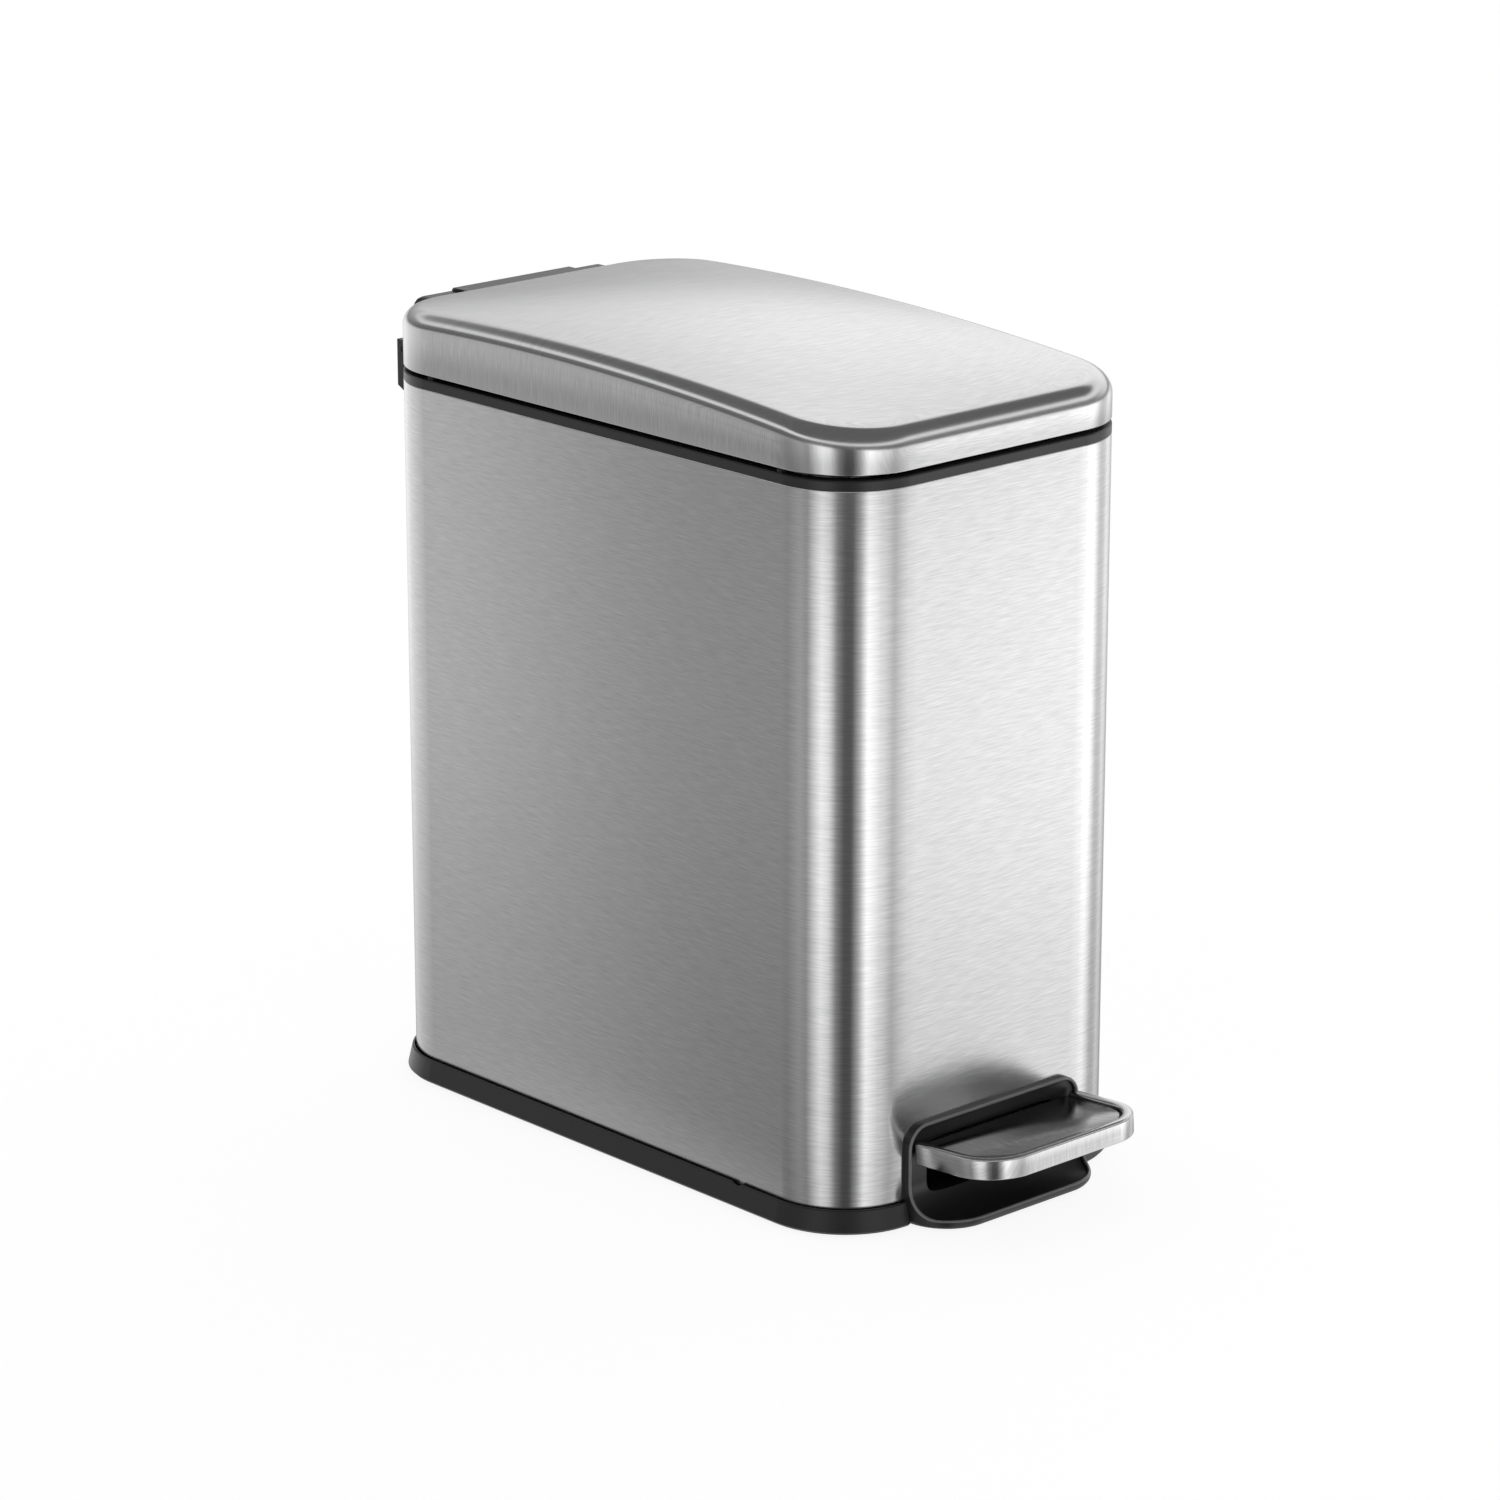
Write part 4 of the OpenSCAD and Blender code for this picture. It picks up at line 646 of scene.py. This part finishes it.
class ScoopPlan:
    """The scoop's shape: a flat lip, a bend of one centre, and an upright part against the body. A place
    on it is found from its inset from the scoop's outline and its distance from the bend's centre."""

    def __init__(self):
        self.sizes = sizes = bpy.context.scene.trash_can_surround
        self.wall = SHELL_LOW.y
        self.low = SURROUND_LOW.z
        self.lip_y = self.wall - sizes.lip
        self.centre_y = self.wall - sizes.out - sizes.bend
        self.centre_z = sizes.foot + sizes.bend
        self.corner_y = self.lip_y + sizes.lip_corner
        self.dish = sizes.bend + sizes.out - sizes.back
        # From the lip's middle to the middle of the top: a part of the scoop, and how far along it
        self.half = [("front", i / 5) for i in range(5)] + [("corner", i / 14) for i in range(14)]
        self.half += [("bend", i / 14) for i in range(14)] + [("side", i / 3) for i in range(3)]
        self.half += [("shoulder", i / 8) for i in range(8)] + [("top", i / 5) for i in range(6)]

    def reach(self, turn):
        """Distance from the bend's centre to the scoop's underside or to the body."""
        down, back = self.centre_z - self.low, self.wall - self.centre_y
        return min(down / max(math.cos(turn), 0.001), back / max(math.sin(turn), 0.001))

    def side_x(self, y, inset):
        """Half the width at a place in front of the body."""
        r = self.sizes.lip_corner - inset
        run = min(y - self.corner_y, 0.0)
        return self.sizes.half_width - self.sizes.lip_corner + math.sqrt(max(r ** 2 - run ** 2, 0.0))

    def nose(self, z):
        """How far the underside's rounding draws the outline in at a height."""
        r = self.sizes.nose
        drop = r - (z - self.low)
        return r - math.sqrt(max(r ** 2 - drop ** 2, 0.0)) if drop > 0 else 0.0

    def place(self, step, inset, radius, rounded=False):
        """A place on the right half; radius is a number or a rule that gives it from the turn."""
        sizes, (part, share) = self.sizes, step
        turn = {"front": 0.0, "corner": 0.0, "bend": share * math.pi / 2}.get(part, math.pi / 2)
        radius = radius(turn) if callable(radius) else radius
        y, z = self.centre_y + radius * math.sin(turn), self.centre_z - radius * math.cos(turn)
        if rounded:
            inset += self.nose(z)
        inner_x = sizes.half_width - sizes.lip_corner
        r = sizes.lip_corner - inset
        if part == "front":
            return (inner_x * share, self.lip_y + inset, z)
        if part == "corner":
            last = math.asin((self.centre_y - self.corner_y) / r)
            angle = -math.pi / 2 + share * (last + math.pi / 2)
            return (inner_x + r * math.cos(angle), self.corner_y + r * math.sin(angle), z)
        x = self.side_x(y, inset)
        if part == "bend":
            return (x, y, z)
        upper = sizes.upper_corner - inset
        shoulder_z = sizes.top - sizes.upper_corner
        if part == "side":
            return (x, y, self.centre_z + (shoulder_z - self.centre_z) * share)
        if part == "shoulder":
            angle = share * math.pi / 2
            return (x - upper + upper * math.cos(angle), y, shoulder_z + upper * math.sin(angle))
        return ((x - upper) * (1 - share), y, shoulder_z + upper)

    def loop(self, inset, radius, rounded=False):
        """A closed ring round the whole scoop."""
        half = [self.place(step, inset, radius, rounded) for step in self.half]
        return half + [(-x, y, z) for x, y, z in half[-2:0:-1]]

    def unrolled(self, point):
        """A place on the dish as its distance across and its distance up the flattened dish."""
        x, y, z = point
        if y < self.centre_y:
            return x, y - self.centre_y
        if z < self.centre_z:
            return x, self.dish * math.atan2(y - self.centre_y, self.centre_z - z)
        return x, self.dish * math.pi / 2 + z - self.centre_z

    def rolled(self, x, run):
        """The place on the dish of an unrolled place."""
        quarter = self.dish * math.pi / 2
        if run < 0:
            return (x, self.centre_y + run, self.centre_z - self.dish)
        if run < quarter:
            turn = run / self.dish
            return (x, self.centre_y + self.dish * math.sin(turn), self.centre_z - self.dish * math.cos(turn))
        return (x, self.centre_y + self.dish, self.centre_z + run - quarter)

    def edge(self, size, degrees):
        """Rings round the edge, from its outer side over its crest."""
        r, crest = self.sizes.edge, self.sizes.bend + self.sizes.edge
        turns = [math.radians(d) for d in degrees]
        return [self.loop(r - size * r * math.cos(t), crest - size * r * math.sin(t)) for t in turns]


def squared(x, z, half_x, half_z, power=9):
    """The place on a rounded rectangle in the same direction from its middle."""
    size = (abs(x / half_x) ** power + abs(z / half_z) ** power) ** (1 / power)
    return x / size, z / size


class TRASHCAN_OT_surround(bpy.types.Operator):
    """Builds the black scoop that surrounds the pedal, with its slot, collar and a light grey edge bead that
    paints in the edge's highlight
    """
    bl_idname = "trash_can.surround"
    bl_label = "Pedal surround"

    def execute(self, context):
        plan = ScoopPlan()
        sizes, opening = plan.sizes, context.scene.trash_can_body
        start = sizes.bend + sizes.edge
        outer = [plan.loop(0.0, lambda turn, f=f: start + (plan.reach(turn) - start) * f, rounded=True)
                 for f in OUTSIDE_STEPS]
        crest = plan.edge(0.9, range(0, 181, 30))
        rim = 2 * sizes.edge
        inner = [plan.loop(rim, plan.dish - 0.5 * MM), plan.loop(rim + 0.3 * MM, plan.dish - 0.1 * MM),
                 plan.loop(rim + 0.8 * MM, plan.dish)]

        # The dish runs from the edge to the slot, flattened out to find the places in between
        flat = [plan.unrolled(point) for point in inner[-1]]
        slot_low = plan.dish * math.acos((plan.centre_z - sizes.slot_low) / plan.dish)
        slot_high = plan.dish * math.pi / 2 + sizes.slot_high - plan.centre_z
        middle, tall = (slot_low + slot_high) / 2, (slot_high - slot_low) / 2
        slot = [squared(x, run - middle, sizes.slot, tall) for x, run in flat]
        dish = [[plan.rolled(x + (sx - x) * f, run + (middle + sz - run) * f)
                 for (x, run), (sx, sz) in zip(flat, slot)] for f in DISH_STEPS]

        # The collar passes through the body's opening
        collar_y, gap = plan.wall + sizes.collar, sizes.clearance
        mid_z = (sizes.slot_low + sizes.slot_high) / 2
        collar_low = sizes.floor + gap
        collar_mid = (opening.opening_top - gap + collar_low) / 2
        half_z = (opening.opening_top - gap - collar_low) / 2
        around = [squared(x, z - collar_mid, opening.opening - gap, half_z) for x, _, z in dish[-1]]
        through = [[(x, collar_y, z) for x, _, z in dish[-1]],
                   [(x, collar_y, collar_mid + z) for x, z in around],
                   [(x, plan.wall, collar_mid + z) for x, z in around],
                   [(x * DRAWN_IN, plan.wall, mid_z + (z - mid_z) * DRAWN_IN if z > plan.low + MM else z)
                    for x, _, z in outer[0]]]
        vertices, faces = loft(outer + crest + inner + dish + through, closed=True)

        # The tabs lie under the two screws, whose box is as deep as one screw's head is wide
        head = SCREWS_HIGH.y - SCREWS_LOW.y
        tab_x = (SCREWS_HIGH.x - SCREWS_LOW.x - head) / 2
        half, tab_y = sizes.tab_width / 2, collar_y + sizes.tab_length
        outline = ((-half, plan.wall), (half, plan.wall), (half, tab_y), (-half, tab_y))
        for side in (-1, 1):
            first = len(vertices)
            vertices += [(side * tab_x + x, y, z) for z in (sizes.floor, sizes.floor + sizes.tab)
                         for x, y in outline]
            faces += [tuple(first + i for i in face) for face in (
                (0, 3, 2, 1), (4, 5, 6, 7), (0, 1, 5, 4), (1, 2, 6, 5), (2, 3, 7, 6), (3, 0, 4, 7))]
        skin = add_piece("surround_skin", vertices, faces, sharp=40.0)
        dress(skin, material("Black plastic"))
        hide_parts("pedal_surround")

        # The edge bead is light grey: a painted highlight along the surround's edge
        bead = add_piece("surround_edge", *loft(plan.edge(1.0, range(0, 360, 30)), closed=True), sharp=80.0)
        dress(bead, material("Surround edge with painted highlight"))
        for piece in (skin, bead):
            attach(piece, "body")
        return {"FINISHED"}


# ---- Stage --------------------------------------------------------------------------------------

# Brightness of the soft walls round the can: degrees from +Y towards +X, and strength
WALLS = (
    (-180, 1.08), (-172, 1.3), (-164, 1.5), (-154, 0.55), (-144, 0.1), (-134, 0.1), (-124, 0.3),
    (-114, 0.98), (-104, 1.2), (-94, 0.8), (-84, 0.35), (-74, 0.42), (-54, 0.29), (-44, 0.31),
    (-38, 0.58), (-28, 0.66), (-8, 0.8), (12, 0.95), (25, 0.8), (34, 0.48), (49, 0.72), (62, 0.45),
    (74, 0.8), (84, 1.0), (96, 0.7), (106, 0.72), (115, 1.2), (124, 1.6), (132, 1.45), (137, 1.0),
    (160, 0.62), (176, 1.0),
)
# Brightness of the backdrop above the horizon, in the same way
BACKDROP = (
    (-180, 0.18), (-30, 0.2), (0, 0.34), (20, 0.5), (30, 0.66), (38, 0.9), (44, 1.25), (60, 1.2),
    (90, 0.9), (120, 0.3), (150, 0.18), (180, 0.18),
)
# Bands of the studio by height, as parts of a unit direction: where they start, are full, and end
BACKDROP_BAND = (0.02, 0.22, 0.38, 0.6)
SOFTBOX_BAND = (0.33, 0.42, 0.53, 0.62)
HORIZON = (-0.02, 0.1)
# The walls below the horizon grow brighter between these heights
WALL_RISE = (-0.34, -0.2)
WALL_DIM, WALL_BRIGHT = 0.82, 1.28
# Strength of the dark overhead, and of the soft boxes in front and elsewhere
DARK, SOFTBOX, LEFT_SOFTBOX = 0.16, 1.15, 0.95
# The strength that the tables' steps are stored against, as a ramp holds no more than 1
STRENGTH_TOP = 2.0


class TRASHCAN_OT_stage(bpy.types.Operator):
    """Sets the pale floor, the soft studio walls and the camera"""
    bl_idname = "trash_can.stage"
    bl_label = "Stage"

    def execute(self, context):
        scene = context.scene
        stage = scene.trash_can_stage
        scene.view_settings.view_transform = "Standard"
        self.make_floor(stage)
        self.make_walls(scene, stage)
        data = bpy.data.cameras.new("Camera")
        data.sensor_width = 36.0
        data.lens = stage.lens
        data.clip_start = 0.01
        camera = bpy.data.objects.new("Camera", data)
        camera.location = stage.camera
        camera.rotation_euler = (stage.tilt, 0.0, stage.turn)
        scene.collection.objects.link(camera)
        scene.camera = camera
        return {"FINISHED"}

    def make_floor(self, stage):
        reach = 4.0
        corners = [(-reach, -reach, 0.0), (reach, -reach, 0.0), (reach, reach, 0.0), (-reach, reach, 0.0)]
        floor = add_piece("floor", corners, [(0, 1, 2, 3)])
        finish, shader = new_material("Pale floor")
        path = shader.nodes.new("ShaderNodeLightPath")
        matt = shader.add("ShaderNodeBsdfDiffuse", sockets={"Color": (*stage.floor, 1.0)})
        white = shader.add("ShaderNodeEmission", sockets={"Color": WHITE, "Strength": stage.white})
        seen = Value(shader, path.outputs["Is Camera Ray"]) * stage.plain
        mixed = shader.add("ShaderNodeMixShader", sockets={0: seen, 1: matt, 2: white})
        shader.add("ShaderNodeOutputMaterial", sockets={"Surface": mixed})
        dress(floor, finish)
        floor.visible_glossy = False

    def make_walls(self, scene, stage):
        world = bpy.data.worlds.new("Studio")
        world.use_nodes = True
        scene.world = world
        shader = Shader(world.node_tree)
        direction = shader.add("ShaderNodeTexCoord", output=0)
        x, y, z = shader.axes(direction)
        turn = x.math("ARCTAN2", y) / (2 * math.pi) + 0.5

        def round_studio(table):
            stops = [((degrees + 180) / 360, strength / STRENGTH_TOP) for degrees, strength in table]
            return shader.add("ShaderNodeValToRGB", {"stops": stops}, {"Fac": turn}) * STRENGTH_TOP

        def rising(low, high):
            return shader.add("ShaderNodeMapRange", {"interpolation_type": "SMOOTHSTEP"}, {
                "Value": z, "From Min": low, "From Max": high})

        def band(start, full, fading, end):
            return rising(start, full) * (1.0 - rising(fading, end))

        # Pale walls below the horizon; above it a dark studio with a backdrop and a ring of soft boxes
        low = round_studio(WALLS) * (rising(*WALL_RISE) * (WALL_BRIGHT - WALL_DIM) + WALL_DIM)
        backdrop = round_studio(BACKDROP) * band(*BACKDROP_BAND)
        frontward = (y * -0.5 + 0.5).math("MAXIMUM", 0.0)
        softbox = (frontward * (SOFTBOX - LEFT_SOFTBOX) + LEFT_SOFTBOX) * band(*SOFTBOX_BAND)
        high = backdrop.math("MAXIMUM", softbox).math("MAXIMUM", DARK)
        above = rising(*HORIZON)
        light = (low * (1.0 - above) + high * above) * stage.walls
        path = shader.nodes.new("ShaderNodeLightPath")
        seen = Value(shader, path.outputs["Is Camera Ray"])
        strength = light * (1.0 - seen) + seen
        glow = shader.add("ShaderNodeBackground", sockets={"Color": WHITE, "Strength": strength})
        shader.add("ShaderNodeOutputWorld", sockets={"Surface": glow})


# ---- Panel and run ------------------------------------------------------------------------------

STEPS = (TRASHCAN_OT_finishes, TRASHCAN_OT_body, TRASHCAN_OT_lid, TRASHCAN_OT_pedal,
         TRASHCAN_OT_surround, TRASHCAN_OT_stage)


class TRASHCAN_PT_pieces(bpy.types.Panel):
    """Lists the settings and the steps that build the can"""
    bl_idname = "TRASHCAN_PT_pieces"
    bl_label = "Pedal trash can"
    bl_space_type = "VIEW_3D"
    bl_region_type = "UI"
    bl_category = "Trash can"

    def draw(self, context):
        for step in STEPS:
            self.layout.operator(step.bl_idname)
        for name, group in SETTINGS.items():
            box = self.layout.box()
            box.label(text=group.__doc__)
            for setting in group.__annotations__:
                box.prop(getattr(context.scene, name), setting)


CLASSES = (*SETTINGS.values(), *STEPS, TRASHCAN_PT_pieces)


def register():
    for each in CLASSES:
        bpy.utils.register_class(each)
    for name, group in SETTINGS.items():
        setattr(bpy.types.Scene, name, PointerProperty(type=group))


def unregister():
    for name in SETTINGS:
        delattr(bpy.types.Scene, name)
    for each in reversed(CLASSES):
        bpy.utils.unregister_class(each)


def main():
    register()
    for step in STEPS:
        group, name = step.bl_idname.split(".")
        getattr(getattr(bpy.ops, group), name)()


if __name__ == "__main__":
    main()
